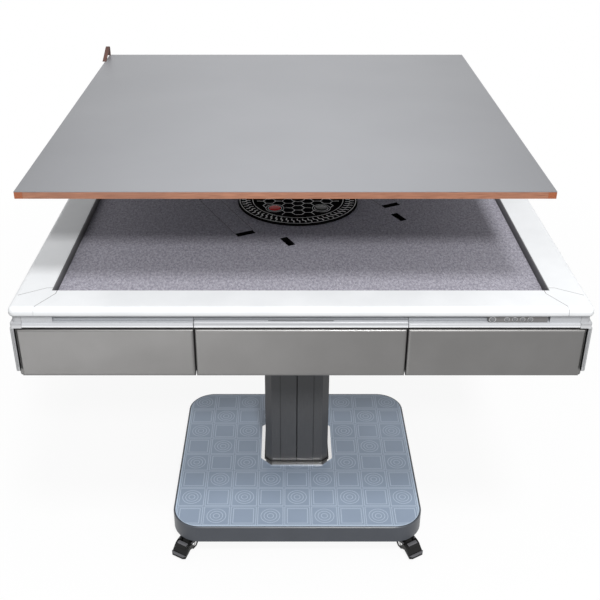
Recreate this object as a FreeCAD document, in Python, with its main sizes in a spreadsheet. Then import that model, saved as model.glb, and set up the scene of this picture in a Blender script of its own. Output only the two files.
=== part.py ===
import FreeCAD, Part
import math
import os
import re
import Sketcher

# Automatic mahjong table: a square machine head with drawers on four sides, carried by a column
# on a wheeled base, with a loose cover board held above the recessed playing field.
# Millimetres, +Z up, origin on the floor under the centre of the table.

SIZES = {
    # top frame round the playing field
    "table_width": 978,
    "table_height": 762,
    "frame_thickness": 18,
    "rail_width": 62,
    "frame_corner_radius": 12,
    "nose_top_radius": 9,
    "nose_low_radius": 6,
    "seam_gap": 0.4,
    "cap_seam": 0.8,
    "cap_inner_width": 9,
    "cap_inner_step": 10,
    "cap_outer_width": 44,
    "cap_knee_width": 47,
    "cap_knee_inset": 11,
    "liner_thickness": 1.5,
    "liner_drop": 1,
    # neck and convex band under the frame
    "neck_height": 12,
    "neck_inset": 5,
    "neck_depth": 15,
    "band_height": 9,
    "band_inset": 1.5,
    "band_radius": 3,
    "band_corner_length": 21,
    "groove_depth": 9,
    "groove_height": 11.5,
    "groove_start": 73,
    "groove_end_radius": 4,
    "mid_width": 360,
    "mid_band_height": 12,
    "mid_radius": 2.5,
    "mid_end_radius": 3,
    "mid_slot_length": 110,
    "mid_slot_height": 2,
    "mid_slot_depth": 4,
    "mid_slot_drop": 1.5,
    # corner posts beside the drawers
    "post_inset": 0.3,
    "post_width": 7.4,
    "post_drop": 124,
    "post_radius": 4,
    "flute_width": 0.8,
    "flute_depth": 0.6,
    # drawers
    "drawer_gap": 4,
    "front_height": 94,
    "front_inset": 3.5,
    "front_thickness": 16,
    "front_end_inset": 9,
    "front_seam": 1.8,
    "front_mitre_gap": 1.1,
    "front_radius": 4,
    "tray_depth": 124,
    "tray_height": 74,
    "tray_wall": 3,
    "tray_side_gap": 8,
    "tray_corner_gap": 12.5,
    "runner_width": 8,
    "runner_height": 5.7,
    "runner_inset": 4,
    "slide_gap": 0.3,
    # machine head
    "chassis_depth": 136.5,
    "pan_thickness": 3,
    "pan_front_gap": 1,
    "machine_gap": 7.5,
    "machine_wall": 3,
    "board_thickness": 10,
    "board_inset": 22,
    # tile lift slots, a pinwheel round the centre disc
    "slot_angle": 26.5,
    "slot_distance": 167,
    "slot_width": 39,
    "slot_low_end": 116,
    "slot_high_end": 157,
    "side_slot_high_end": 105,
    "window_length": 16,
    "lift_gap": 0.5,
    "lift_platform": 8,
    "lift_ring_drop": 38,
    "lift_ring_thickness": 6,
    "lift_ring_inner": 150,
    "lift_ring_outer": 212,
    "lift_post_half": 6,
    "lift_post_spread": 66,
    # centre disc with its buttons and lifting stem
    "disc_radius": 128,
    "disc_height": 4.5,
    "disc_bevel": 2.5,
    "disc_boss_radius": 112,
    "disc_boss_depth": 9,
    "disc_hole_gap": 2,
    "stem_radius": 18,
    "stem_length": 104,
    "disc_button_radius": 12,
    "disc_button_circle": 69,
    "disc_button_height": 6,
    "disc_button_rise": 1,
    # shuffling disc, its motor and the lift housing
    "housing_radius": 26.7,
    "housing_height": 78,
    "shuffle_radius": 122,
    "shuffle_thickness": 5,
    "shuffle_rim_height": 12,
    "shuffle_rim_width": 4,
    "paddle_count": 6,
    "paddle_start": 44,
    "paddle_width": 4,
    "paddle_height": 5,
    "motor_half": 50,
    "motor_height": 62,
    # control strip on the front
    "panel_from_edge": 176,
    "panel_height": 11,
    "panel_gap": 0.3,
    "key_radius": 3.4,
    "power_radius": 4.2,
    "key_length": 5,
    "key_rise": 1.2,
    "power_from_edge": 169,
    "key_from_edge": 145,
    "key_pitch": 13,
    # fold hinge between column and head
    "cradle_thickness": 6,
    "cradle_width": 240,
    "cradle_depth": 250,
    "pin_forward": 95,
    "pin_drop": 38,
    "pin_radius": 6,
    "pin_clearance": 0.3,
    "pin_overhang": 4,
    "ear_radius": 14,
    "cheek_spread": 50,
    "cheek_thickness": 8,
    "knuckle_thickness": 8,
    "knuckle_gap": 2,
    "bracket_width": 120,
    "bracket_depth": 120,
    "bracket_plate": 8,
    "bracket_drop": 49,
    # column
    "column_width": 149,
    "column_depth": 149,
    "column_chamfer": 15,
    "column_wall": 4,
    "column_seam": 2.2,
    "column_groove_place": 39,
    "column_groove_width": 2.4,
    "column_groove_depth": 1.6,
    "post_tube": 90,
    "post_tube_wall": 5,
    "post_flange": 128,
    "post_flange_thickness": 8,
    "bolt_spread": 52,
    "bolt_radius": 5,
    "bolt_head_radius": 8,
    "bolt_head_height": 6,
    "collar_width": 172,
    "collar_chamfer": 24,
    "collar_thickness": 2.5,
    # base
    "base_width": 560,
    "base_depth": 498,
    "base_height": 42,
    "base_clearance": 46.5,
    "base_forward": 43,
    "base_radius": 64,
    "base_rim": 3.5,
    "base_edge_bevel": 1.5,
    "base_panel": 3,
    "base_deck": 6,
    "base_wall": 6,
    "base_rib": 5,
    "boss_radius": 27,
    # casters
    "caster_inset": 44,
    "caster_heading": 60,
    "caster_plate_half": 21,
    "caster_plate": 4,
    "caster_crown_half": 15,
    "wheel_radius": 20,
    "wheel_width": 18,
    "wheel_bevel": 3,
    "axle_radius": 4,
    "axle_clearance": 0.15,
    "caster_trail": 17,
    "fork_width": 30,
    "fork_gap": 1.2,
    "fork_radius": 12,
    "fork_crown": 7,
    "pivot_radius": 3,
    "pivot_height": 29,
    "pivot_reach": 27,
    "pivot_length": 3.2,
    "pedal_arm": 3,
    "pedal_gap": 0.4,
    "pedal_reach": 38,
    "pedal_length": 26,
    "pedal_brake_gap": 1.5,
    "pedal_depth": 9,
    "pedal_drop": 14,
    "pedal_lip": 6,
    "pedal_lip_rise": 4.5,
    "pedal_bar_width": 24,
    "pedal_bar_rise": 6,
    "pedal_corner": 6,
    # cover board
    "cover_gap": 5.2,
    "cover_thickness": 12,
    "cover_skin": 1,
    "cover_edging": 13,
    "cover_lift": 206.7,
    "cover_left": 26,
    "cover_forward": 61,
    "pad_half": 16,
    "pad_inset": 70,
    "strap_width": 9,
    "strap_thickness": 2.4,
    "strap_span": 62,
    "strap_rise": 22,
    "strap_radius": 6,
    "strap_overhang": 6,
    "strap_back": 3,
    "overrun": 1,
}

doc = FreeCAD.newDocument("mahjong_table")
sheet = doc.addObject("Spreadsheet::Sheet", "Sizes")
for row, (alias, number) in enumerate(SIZES.items(), 1):
    sheet.set(f"A{row}", alias)
    sheet.set(f"B{row}", str(number))
    sheet.setAlias(f"B{row}", alias)
doc.recompute()

# Levels and edges that several pieces share, as expressions over the sheet.
EDGE = "(table_width / 2)"
RECESS = "(table_width / 2 - rail_width)"
FELT = "(table_height - frame_thickness)"
BOARD_LOW = "(table_height - frame_thickness - board_thickness)"
BAND_LOW = "(table_height - frame_thickness - neck_height - band_height)"
FRONT_LOW = "(table_height - frame_thickness - neck_height - band_height - drawer_gap - front_height)"
FRONT_BACK = "(table_width / 2 - front_inset - front_thickness)"
TRAY_BACK = "(table_width / 2 - front_inset - front_thickness - tray_depth)"
MACHINE = "(table_width / 2 - front_inset - front_thickness - tray_depth - machine_gap)"
PANEL_START = "(table_width / 2 - panel_from_edge)"
COVER_HALF = "(table_width / 2 - rail_width - cover_gap)"
PAN_LOW = "(table_height - chassis_depth)"
PAN_TOP = "(table_height - chassis_depth + pan_thickness)"
TRAY_LOW = "(table_height - chassis_depth + pan_thickness + runner_height + slide_gap)"
BASE_TOP = "(base_clearance + base_height)"
BRACKET_TOP = "(table_height - chassis_depth - cradle_thickness)"
BRACKET_LOW = "(table_height - chassis_depth - cradle_thickness - bracket_drop)"
PIN_HEIGHT = "(table_height - chassis_depth - pin_drop)"
DISC_HOLE = "(disc_boss_radius + disc_hole_gap)"
COVER_LOW = "(table_height + cover_lift - cover_thickness)"

SIDES = 4
CORNERS = ((-1, -1), (1, -1), (1, 1), (-1, 1))
parts = {}


# Reading the sheet and binding features to it.
def bound(text):
    return re.sub(r"[a-z][a-z_]*", lambda m: f"Sizes.{m[0]}" if m[0] in SIZES else m[0], str(text))


def value(text):
    return float(sheet.evalExpression(bound(text)))


def bind(item, prop, text):
    item.setExpression(prop, bound(text))


def vector(x, y, z=0):
    return FreeCAD.Vector(x, y, z)


# Bodies, sketches and features.
def new_body(label):
    body = doc.addObject("PartDesign::Body", label)
    parts[label] = body
    return body


def origin_part(body, role):
    return next(item for item in body.Origin.OriginFeatures if item.Role == role)


def new_sketch(body, role="XY_Plane", level="0", across="0", up="0"):
    sketch = body.newObject("Sketcher::SketchObject", "Sketch")
    sketch.AttachmentSupport = (origin_part(body, role), [""])
    sketch.MapMode = "FlatFace"
    bind(sketch, "AttachmentOffset.Base.x", across)
    bind(sketch, "AttachmentOffset.Base.y", up)
    bind(sketch, "AttachmentOffset.Base.z", level)
    return sketch


def hold(sketch, kind, first, text):
    index = sketch.addConstraint(Sketcher.Constraint(kind, *first, value(text)))
    bind(sketch, f"Constraints[{index}]", text)


def polygon(sketch, points):
    corners = [vector(value(x), value(y)) for x, y in points]
    start = sketch.GeometryCount
    count = len(points)
    for index in range(count):
        sketch.addGeometry(Part.LineSegment(corners[index], corners[(index + 1) % count]), False)
    for index in range(count):
        after = start + (index + 1) % count
        sketch.addConstraint(Sketcher.Constraint("Coincident", start + index, 2, after, 1))
    for index, (x, y) in enumerate(points):
        hold(sketch, "DistanceX", (-1, 1, start + index, 1), x)
        hold(sketch, "DistanceY", (-1, 1, start + index, 1), y)


def rectangle(sketch, left, right, low, high):
    polygon(sketch, [(left, low), (right, low), (right, high), (left, high)])


def rounded_rectangle(sketch, left, right, low, high, radius):
    a, b, c, d, r = (value(text) for text in (left, right, low, high, radius))
    runs = [
        ((a + r, c), (b - r, c)),
        ((b, c + r), (b, d - r)),
        ((b - r, d), (a + r, d)),
        ((a, d - r), (a, c + r)),
    ]
    centres = [(b - r, c + r), (b - r, d - r), (a + r, d - r), (a + r, c + r)]
    first = sketch.GeometryCount
    for turn, (run, centre) in enumerate(zip(runs, centres)):
        sketch.addGeometry(Part.LineSegment(vector(*run[0]), vector(*run[1])), False)
        angle = (turn - 1) * math.pi / 2
        ring = Part.Circle(vector(*centre), vector(0, 0, 1), r)
        sketch.addGeometry(Part.ArcOfCircle(ring, angle, angle + math.pi / 2), False)
    edges = [first + index for index in range(2 * len(runs))]
    for index, edge in enumerate(edges):
        sketch.addConstraint(Sketcher.Constraint("Tangent", edge, 2, edges[(index + 1) % len(edges)], 1))
    for index, kind in ((0, "Horizontal"), (4, "Horizontal"), (2, "Vertical"), (6, "Vertical")):
        sketch.addConstraint(Sketcher.Constraint(kind, edges[index]))
    for index in (3, 5, 7):
        sketch.addConstraint(Sketcher.Constraint("Equal", edges[1], edges[index]))
    hold(sketch, "Radius", (edges[1],), radius)
    hold(sketch, "DistanceX", (-1, 1, edges[6], 1), left)
    hold(sketch, "DistanceX", (-1, 1, edges[2], 1), right)
    hold(sketch, "DistanceY", (-1, 1, edges[0], 1), low)
    hold(sketch, "DistanceY", (-1, 1, edges[4], 1), high)


def circle(sketch, x, y, radius):
    ring = Part.Circle(vector(value(x), value(y)), vector(0, 0, 1), value(radius))
    index = sketch.addGeometry(ring, False)
    hold(sketch, "DistanceX", (-1, 1, index, 3), x)
    hold(sketch, "DistanceY", (-1, 1, index, 3), y)
    hold(sketch, "Radius", (index,), radius)


def pad(body, sketch, length, both_ways=False, backwards=False):
    feature = body.newObject("PartDesign::Pad", "Pad")
    feature.Profile = sketch
    feature.SideType = "Symmetric" if both_ways else "One side"
    feature.Reversed = backwards
    bind(feature, "Length", length)
    doc.recompute()
    return feature


def cut(body, sketch, depth, both_ways=False, backwards=False):
    before = body.Shape.Volume
    feature = body.newObject("PartDesign::Pocket", "Pocket")
    feature.Profile = sketch
    feature.SideType = "Symmetric" if both_ways else "One side"
    feature.Reversed = backwards
    bind(feature, "Length", depth)
    doc.recompute()
    if body.Shape.Volume >= before:
        raise RuntimeError(f"a pocket of {body.Label} removes nothing")
    return feature


def revolve(body, sketch, axis):
    feature = body.newObject("PartDesign::Revolution", "Revolution")
    feature.Profile = sketch
    feature.ReferenceAxis = (sketch, [axis])
    feature.Angle = 360
    doc.recompute()
    return feature


def near(first, second):
    return abs(first - second) < value("seam_gap / 10")


def round_edges(body, radius, chosen):
    base = body.Tip
    names = [f"Edge{index}" for index, edge in enumerate(base.Shape.Edges, 1) if chosen(edge)]
    feature = body.newObject("PartDesign::Fillet", "Fillet")
    feature.Base = (base, names)
    bind(feature, "Radius", radius)
    doc.recompute()
    return feature


def bevel_edges(body, size, chosen):
    base = body.Tip
    names = [f"Edge{index}" for index, edge in enumerate(base.Shape.Edges, 1) if chosen(edge)]
    feature = body.newObject("PartDesign::Chamfer", "Chamfer")
    feature.Base = (base, names)
    bind(feature, "Size", size)
    doc.recompute()
    return feature


def turn_copies(body, count=SIDES, originals=None):
    feature = body.newObject("PartDesign::PolarPattern", "PolarPattern")
    if originals:
        feature.Originals = originals
    else:
        feature.TransformMode = "Whole shape"
    feature.Axis = (origin_part(body, "Z_Axis"), [""])
    feature.Angle = 360
    feature.Occurrences = count
    body.Tip = feature
    doc.recompute()
    return feature


def mirror_copy(body, role, originals=None):
    feature = body.newObject("PartDesign::Mirrored", "Mirrored")
    if originals:
        feature.Originals = originals
    else:
        feature.TransformMode = "Whole shape"
    feature.MirrorPlane = (origin_part(body, role), [""])
    body.Tip = feature
    doc.recompute()
    return feature


def upright(edge):
    return near(edge.Vertexes[0].X, edge.Vertexes[-1].X) and near(edge.Vertexes[0].Y, edge.Vertexes[-1].Y)


def lies_at(edge, axis, text):
    return all(near(getattr(vertex, axis), value(text)) for vertex in edge.Vertexes)


# Top frame: four rails, four corner caps and the dark lining of the recess.
def make_frame_rails():
    body = new_body("frame_rails")
    plan = new_sketch(body, level=FELT)
    right = [
        (f"{EDGE} - cap_outer_width - cap_seam", f"-{EDGE}"),
        (f"{EDGE} - cap_knee_width - cap_seam", f"-{EDGE} + cap_knee_inset"),
        (f"{RECESS} - cap_inner_width - cap_seam", f"-{RECESS} - cap_inner_step"),
        (f"{RECESS} - cap_inner_width - cap_seam", f"-{RECESS}"),
    ]
    left = [(f"-({x})", y) for x, y in reversed(right)]
    polygon(plan, right + left)
    pad(body, plan, "frame_thickness")
    outer = lambda edge: lies_at(edge, "Y", f"-{EDGE}")
    round_edges(body, "nose_top_radius", lambda edge: outer(edge) and lies_at(edge, "Z", "table_height"))
    round_edges(body, "nose_low_radius", lambda edge: outer(edge) and lies_at(edge, "Z", FELT))
    turn_copies(body)


def make_frame_corners():
    body = new_body("frame_corners")
    plan = new_sketch(body, level=FELT)
    side = [
        (f"-{RECESS} + cap_inner_width", f"-{RECESS}"),
        (f"-{RECESS} + cap_inner_width", f"-{RECESS} - cap_inner_step"),
        (f"-{EDGE} + cap_knee_width", f"-{EDGE} + cap_knee_inset"),
        (f"-{EDGE} + cap_outer_width", f"-{EDGE}"),
    ]
    other = [(y, x) for x, y in reversed(side)]
    polygon(plan, [(f"-{RECESS}", f"-{RECESS}")] + side + [(f"-{EDGE}", f"-{EDGE}")] + other)
    pad(body, plan, "frame_thickness")
    at_corner = lambda edge: lies_at(edge, "X", f"-{EDGE}") and lies_at(edge, "Y", f"-{EDGE}")
    round_edges(body, "frame_corner_radius", at_corner)
    reach = value(f"-{EDGE} + frame_corner_radius")
    side_run = lambda edge: lies_at(edge, "X", f"-{EDGE}") or lies_at(edge, "Y", f"-{EDGE}")
    bend = lambda edge: edge.CenterOfMass.x < reach and edge.CenterOfMass.y < reach
    rim = lambda edge: side_run(edge) or bend(edge)
    round_edges(body, "nose_top_radius", lambda edge: rim(edge) and lies_at(edge, "Z", "table_height"))
    round_edges(body, "nose_low_radius", lambda edge: rim(edge) and lies_at(edge, "Z", FELT))
    turn_copies(body)


def make_recess_liner():
    body = new_body("recess_liner")
    plan = new_sketch(body, level=FELT)
    rectangle(plan, f"-{RECESS}", f"{RECESS} - liner_thickness", f"-{RECESS}", f"-{RECESS} + liner_thickness")
    pad(body, plan, "frame_thickness - liner_drop")
    turn_copies(body)


# Skirt: neck with its grip groove and the convex band, as two side runs and a raised middle run a side.
def make_skirt_bands():
    body = new_body("skirt_bands")
    back = f"-{EDGE} + neck_inset + neck_depth"
    start = f"-{EDGE} + band_corner_length + seam_gap"
    end = "-mid_width / 2 - cap_seam"
    profile = new_sketch(body, "YZ_Plane", start)
    band_top = f"{BAND_LOW} + band_height"
    polygon(profile, [
        (back, BAND_LOW),
        (f"-{EDGE} + band_inset", BAND_LOW),
        (f"-{EDGE} + band_inset", band_top),
        (f"-{EDGE} + neck_inset", band_top),
        (f"-{EDGE} + neck_inset", FELT),
        (back, FELT),
    ])
    pad(body, profile, f"({end}) - ({start})")
    crest = lambda edge: lies_at(edge, "Y", f"-{EDGE} + band_inset")
    along = lambda edge: lies_at(edge, "Z", BAND_LOW) or lies_at(edge, "Z", band_top)
    round_edges(body, "band_radius", lambda edge: crest(edge) and along(edge))
    groove = new_sketch(body, level=FELT)
    rounded_rectangle(
        groove,
        f"-{EDGE} + groove_start",
        f"{end} + 2 * groove_end_radius",
        f"-{EDGE} - groove_end_radius",
        f"-{EDGE} + neck_inset + groove_depth",
        "groove_end_radius",
    )
    cut(body, groove, "groove_height")
    mirror_copy(body, "YZ_Plane")
    middle = new_sketch(body, "YZ_Plane")
    mid_top = f"{BAND_LOW} + mid_band_height"
    polygon(middle, [
        (back, BAND_LOW),
        (f"-{EDGE} + band_inset", BAND_LOW),
        (f"-{EDGE} + band_inset", mid_top),
        (f"-{EDGE} + neck_inset + groove_depth", mid_top),
        (f"-{EDGE} + neck_inset + groove_depth", FELT),
        (back, FELT),
    ])
    pad(body, middle, "mid_width", both_ways=True)
    half = value("mid_width / 2")
    at_end = lambda edge: near(abs(edge.CenterOfMass.x), half) and lies_at(edge, "Z", mid_top)
    round_edges(body, "mid_end_radius", at_end)
    mid_run = lambda edge: abs(edge.CenterOfMass.x) < half / 2
    level = lambda edge: lies_at(edge, "Z", BAND_LOW) or lies_at(edge, "Z", mid_top)
    round_edges(body, "mid_radius", lambda edge: mid_run(edge) and crest(edge) and level(edge))
    slot = new_sketch(body, level=mid_top)
    rectangle(
        slot,
        "-mid_slot_length / 2",
        "mid_slot_length / 2",
        f"-{EDGE} + band_inset + mid_radius + mid_slot_drop",
        f"-{EDGE} + band_inset + mid_radius + mid_slot_drop + mid_slot_height",
    )
    cut(body, slot, "mid_slot_depth")
    turn_copies(body)


def make_corner_posts():
    body = new_body("corner_posts")
    out = f"-{EDGE} + post_inset"
    tip = f"-{EDGE} + post_inset + post_width"
    foot = "(table_height - post_drop)"
    plan = new_sketch(body, level=foot)
    rectangle(plan, out, tip, out, tip)
    pad(body, plan, f"{BAND_LOW} - {foot}")
    round_edges(body, "post_radius", lambda edge: lies_at(edge, "X", out) and lies_at(edge, "Y", out))
    flutes = new_sketch(body, level=BAND_LOW)
    for step in range(1, 3):
        place = f"{out} + post_radius + {step} * (post_width - post_radius) / 3"
        for turned in (False, True):
            along = (f"{place} - flute_width / 2", f"{place} + flute_width / 2")
            across = (f"{out} - overrun", f"{out} + flute_depth")
            rectangle(flutes, *(across + along if turned else along + across))
    cut(body, flutes, f"{BAND_LOW} - {foot} - post_width")
    inner = f"-{EDGE} + band_corner_length"
    band = new_sketch(body, level=BAND_LOW)
    rectangle(band, f"-{EDGE} + band_inset", inner, f"-{EDGE} + band_inset", inner)
    pad(body, band, "band_height")
    neck = new_sketch(body, level=f"{BAND_LOW} + band_height")
    rectangle(neck, f"-{EDGE} + neck_inset", inner, f"-{EDGE} + neck_inset", inner)
    pad(body, neck, "neck_height")
    edge_at = lambda edge, place: lies_at(edge, "X", place) and lies_at(edge, "Y", place)
    band_edge = lambda edge: edge_at(edge, f"-{EDGE} + band_inset")
    neck_edge = lambda edge: edge_at(edge, f"-{EDGE} + neck_inset") and upright(edge)
    round_edges(body, "post_radius + seam_gap", lambda edge: band_edge(edge) and upright(edge))
    round_edges(body, "frame_corner_radius - neck_inset", neck_edge)
    turn_copies(body)


# Drawers: three a side. The fronts of the corner drawers are mitred towards the corner posts, and
# their trays are short of the corner, where the next side's tray runs.
def make_drawer(label, middle, mirrored, turn):
    body = new_body(label)
    face = f"-{EDGE} + front_inset"
    back = f"-{FRONT_BACK}"
    if middle:
        outer = inner = "-mid_width / 2 + front_seam / 2"
        near_end = "mid_width / 2 - front_seam / 2"
        tray = ("-mid_width / 2 + tray_side_gap", "mid_width / 2 - tray_side_gap")
    else:
        outer = f"-{EDGE} + front_end_inset"
        inner = f"-{FRONT_BACK} + front_mitre_gap"
        near_end = "-mid_width / 2 - front_seam / 2"
        tray = (f"-{TRAY_BACK} + tray_corner_gap", "-mid_width / 2 - tray_side_gap")
    flip = (lambda x: f"-({x})") if mirrored else (lambda x: x)
    plan = new_sketch(body, level=FRONT_LOW)
    outline = [(flip(outer), face), (flip(near_end), face), (flip(near_end), back), (flip(inner), back)]
    if not middle:
        outline.append((flip(outer), f"{outer} - front_mitre_gap"))
    polygon(plan, outline)
    pad(body, plan, "front_height")
    round_edges(body, "front_radius", lambda edge: lies_at(edge, "Y", face))
    left, right = (flip(x) for x in (reversed(tray) if mirrored else tray))
    block = new_sketch(body, level=TRAY_LOW)
    rectangle(block, left, right, back, f"{back} + tray_depth")
    pad(body, block, "tray_height")
    inside = new_sketch(body, level=f"{TRAY_LOW} + tray_height")
    rectangle(
        inside,
        f"{left} + tray_wall",
        f"{right} - tray_wall",
        back,
        f"{back} + tray_depth - tray_wall",
    )
    cut(body, inside, "tray_height - tray_wall")
    body.Placement = FreeCAD.Placement(vector(0, 0), FreeCAD.Rotation(vector(0, 0, 1), turn))


def make_drawers():
    for side, name in enumerate(("front", "right", "back", "left")):
        turn = side * 360 / SIDES
        make_drawer(f"drawer_{name}_a", False, False, turn)
        make_drawer(f"drawer_{name}_b", True, False, turn)
        make_drawer(f"drawer_{name}_c", False, True, turn)


def make_drawer_runners():
    body = new_body("drawer_runners")
    plan = new_sketch(body, level=PAN_TOP)
    trays = [("-mid_width / 2 + tray_side_gap", "mid_width / 2 - tray_side_gap")]
    near_wall = "mid_width / 2 + tray_side_gap"
    trays.append((f"-{TRAY_BACK} + tray_corner_gap", f"-({near_wall})"))
    trays.append((near_wall, f"{TRAY_BACK} - tray_corner_gap"))
    for left, right in trays:
        starts = (f"{left} + runner_inset", f"{right} - runner_inset - runner_width")
        for start in starts:
            rectangle(plan, start, f"{start} + runner_width", f"-{FRONT_BACK} + pan_front_gap",
                      f"-{FRONT_BACK} + tray_depth")
    pad(body, plan, "runner_height")
    turn_copies(body)


# Machine head: pan with the machine box, and the playing board with its hole and lift slots.
def make_chassis_pan():
    body = new_body("chassis_pan")
    plan = new_sketch(body, level=PAN_LOW)
    rim = f"({FRONT_BACK} - pan_front_gap)"
    rectangle(plan, f"-{rim}", rim, f"-{rim}", rim)
    pad(body, plan, "pan_thickness")
    box = new_sketch(body, level=PAN_TOP)
    for half in (MACHINE, f"({MACHINE} - machine_wall)"):
        rectangle(box, f"-{half}", half, f"-{half}", half)
    pad(body, box, f"{BOARD_LOW} - {PAN_TOP}")


SLOT_ENDS = (("slot_high_end", False), ("side_slot_high_end", True))


def slot_point(along, out, quarter):
    x = f"(({along}) * cos(slot_angle) + (slot_distance + {out}) * sin(slot_angle))"
    y = f"(({along}) * sin(slot_angle) - (slot_distance + {out}) * cos(slot_angle))"
    return (f"-{y}", x) if quarter else (x, y)


def slot_outline(low, high, half, quarter):
    corners = ((low, half), (high, half), (high, f"-{half}"), (low, f"-{half}"))
    return [slot_point(along, out, quarter) for along, out in corners]


def make_play_board():
    body = new_body("play_board")
    plan = new_sketch(body, level=BOARD_LOW)
    half = f"({EDGE} - board_inset)"
    rectangle(plan, f"-{half}", half, f"-{half}", half)
    circle(plan, "0", "0", DISC_HOLE)
    pad(body, plan, "board_thickness")
    for high, quarter in SLOT_ENDS:
        slot = new_sketch(body, level=FELT)
        polygon(slot, slot_outline("-slot_low_end", high, "(slot_width / 2)", quarter))
        opening = cut(body, slot, "board_thickness")
        turn_copies(body, 2, [opening])


def make_tile_lift():
    body = new_body("tile_lift")
    low = f"({FELT} - lift_ring_drop - lift_ring_thickness)"
    ring = new_sketch(body, level=low)
    for reach in ("lift_ring_outer", "lift_ring_inner"):
        polygon(ring, [(f"{reach} * cos({turn} * 45)", f"{reach} * sin({turn} * 45)") for turn in range(8)])
    pad(body, ring, "lift_ring_thickness")
    for high, quarter in SLOT_ENDS:
        posts = new_sketch(body, level=f"{low} + lift_ring_thickness")
        for sign in ("-", "+"):
            place = f"({high} - slot_low_end) / 2 {sign} lift_post_spread"
            ends = (f"{place} - lift_post_half", f"{place} + lift_post_half")
            polygon(posts, slot_outline(*ends, "lift_post_half", quarter))
        stems = pad(body, posts, "lift_ring_drop - lift_platform")
        plan = new_sketch(body, level=f"{FELT} - lift_platform")
        ends = ("-slot_low_end + window_length", f"{high} - window_length")
        polygon(plan, slot_outline(*ends, "(slot_width / 2 - lift_gap)", quarter))
        platform = pad(body, plan, "lift_platform")
        turn_copies(body, 2, [stems, platform])


# Centre disc with four buttons, on a stem that slides in the lift housing.
def make_centre_disc():
    body = new_body("centre_disc")
    profile = new_sketch(body, "XZ_Plane")
    top = f"{FELT} + disc_height"
    boss = f"{FELT} - disc_boss_depth"
    polygon(profile, [
        ("0", f"{top} - stem_length"),
        ("stem_radius", f"{top} - stem_length"),
        ("stem_radius", boss),
        ("disc_boss_radius", boss),
        ("disc_boss_radius", FELT),
        ("disc_radius", FELT),
        ("disc_radius", f"{top} - disc_bevel / 2"),
        ("disc_radius - disc_bevel", top),
        ("0", top),
    ])
    revolve(body, profile, "V_Axis")
    holes = new_sketch(body, level=top)
    place = "disc_button_circle * sqrt(1 / 2)"
    for x, y in CORNERS:
        circle(holes, f"{x} * {place}", f"{y} * {place}", "disc_button_radius + slide_gap")
    cut(body, holes, "disc_button_height")


def make_disc_buttons():
    place = "disc_button_circle * sqrt(1 / 2)"
    low = f"{FELT} + disc_height - disc_button_height + 2 * disc_button_rise"
    for number, (x, y) in enumerate(CORNERS, 1):
        body = new_body(f"disc_button_{number}")
        plan = new_sketch(body, level=low)
        circle(plan, f"{x} * {place}", f"{y} * {place}", "disc_button_radius")
        pad(body, plan, "disc_button_height - disc_button_rise")


def make_lift_housing():
    body = new_body("lift_housing")
    plan = new_sketch(body, level=PAN_TOP)
    circle(plan, "0", "0", "housing_radius")
    circle(plan, "0", "0", "stem_radius + slide_gap")
    pad(body, plan, "housing_height")


def make_shuffle_disc():
    body = new_body("shuffle_disc")
    profile = new_sketch(body, "XZ_Plane")
    low = f"{PAN_TOP} + motor_height + slide_gap"
    polygon(profile, [
        ("housing_radius + slide_gap", low),
        ("shuffle_radius", low),
        ("shuffle_radius", f"{low} + shuffle_rim_height"),
        ("shuffle_radius - shuffle_rim_width", f"{low} + shuffle_rim_height"),
        ("shuffle_radius - shuffle_rim_width", f"{low} + shuffle_thickness"),
        ("housing_radius + slide_gap", f"{low} + shuffle_thickness"),
    ])
    revolve(body, profile, "V_Axis")
    blade = new_sketch(body, level=f"{low} + shuffle_thickness")
    rectangle(blade, "paddle_start", "shuffle_radius - shuffle_rim_width / 2", "-paddle_width / 2",
              "paddle_width / 2")
    paddle = pad(body, blade, "paddle_height")
    turn_copies(body, SIZES["paddle_count"], [paddle])


def make_shuffle_motor():
    body = new_body("shuffle_motor")
    plan = new_sketch(body, level=PAN_TOP)
    rectangle(plan, "-motor_half", "motor_half", "-motor_half", "motor_half")
    circle(plan, "0", "0", "housing_radius + slide_gap")
    pad(body, plan, "motor_height")


# Control strip in the grip groove of the front, with a power button and four keys.
def make_control_panel():
    body = new_body("control_panel")
    face = f"({EDGE} - neck_inset)"
    plan = new_sketch(body, "XZ_Plane", f"{face} - groove_depth")
    end = f"{EDGE} - groove_start - groove_end_radius"
    foot = f"{FELT} - panel_height"
    head = f"{FELT} - panel_gap"
    rectangle(plan, PANEL_START, end, foot, head)
    pad(body, plan, "groove_depth")
    left = lambda edge: lies_at(edge, "X", PANEL_START)
    level = lambda edge: lies_at(edge, "Z", foot) or lies_at(edge, "Z", head)
    round_edges(body, "panel_height / 3", lambda edge: left(edge) and level(edge))
    holes = new_sketch(body, "XZ_Plane", face)
    for place, radius in key_places():
        circle(holes, place, key_height(), f"{radius} + slide_gap")
    cut(body, holes, "key_length")


def key_height():
    return f"{FELT} - (panel_height + panel_gap) / 2"


def key_places():
    keys = [(f"{EDGE} - key_from_edge + {number} * key_pitch", "key_radius") for number in range(4)]
    return [(f"{EDGE} - power_from_edge", "power_radius")] + keys


def make_keys():
    face = f"({EDGE} - neck_inset)"
    names = ("power_button", "key_1", "key_2", "key_3", "key_4")
    for name, (place, radius) in zip(names, key_places()):
        body = new_body(name)
        plan = new_sketch(body, "XZ_Plane", f"{face} + key_rise")
        circle(plan, place, key_height(), radius)
        pad(body, plan, "key_length - key_rise", backwards=True)


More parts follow.
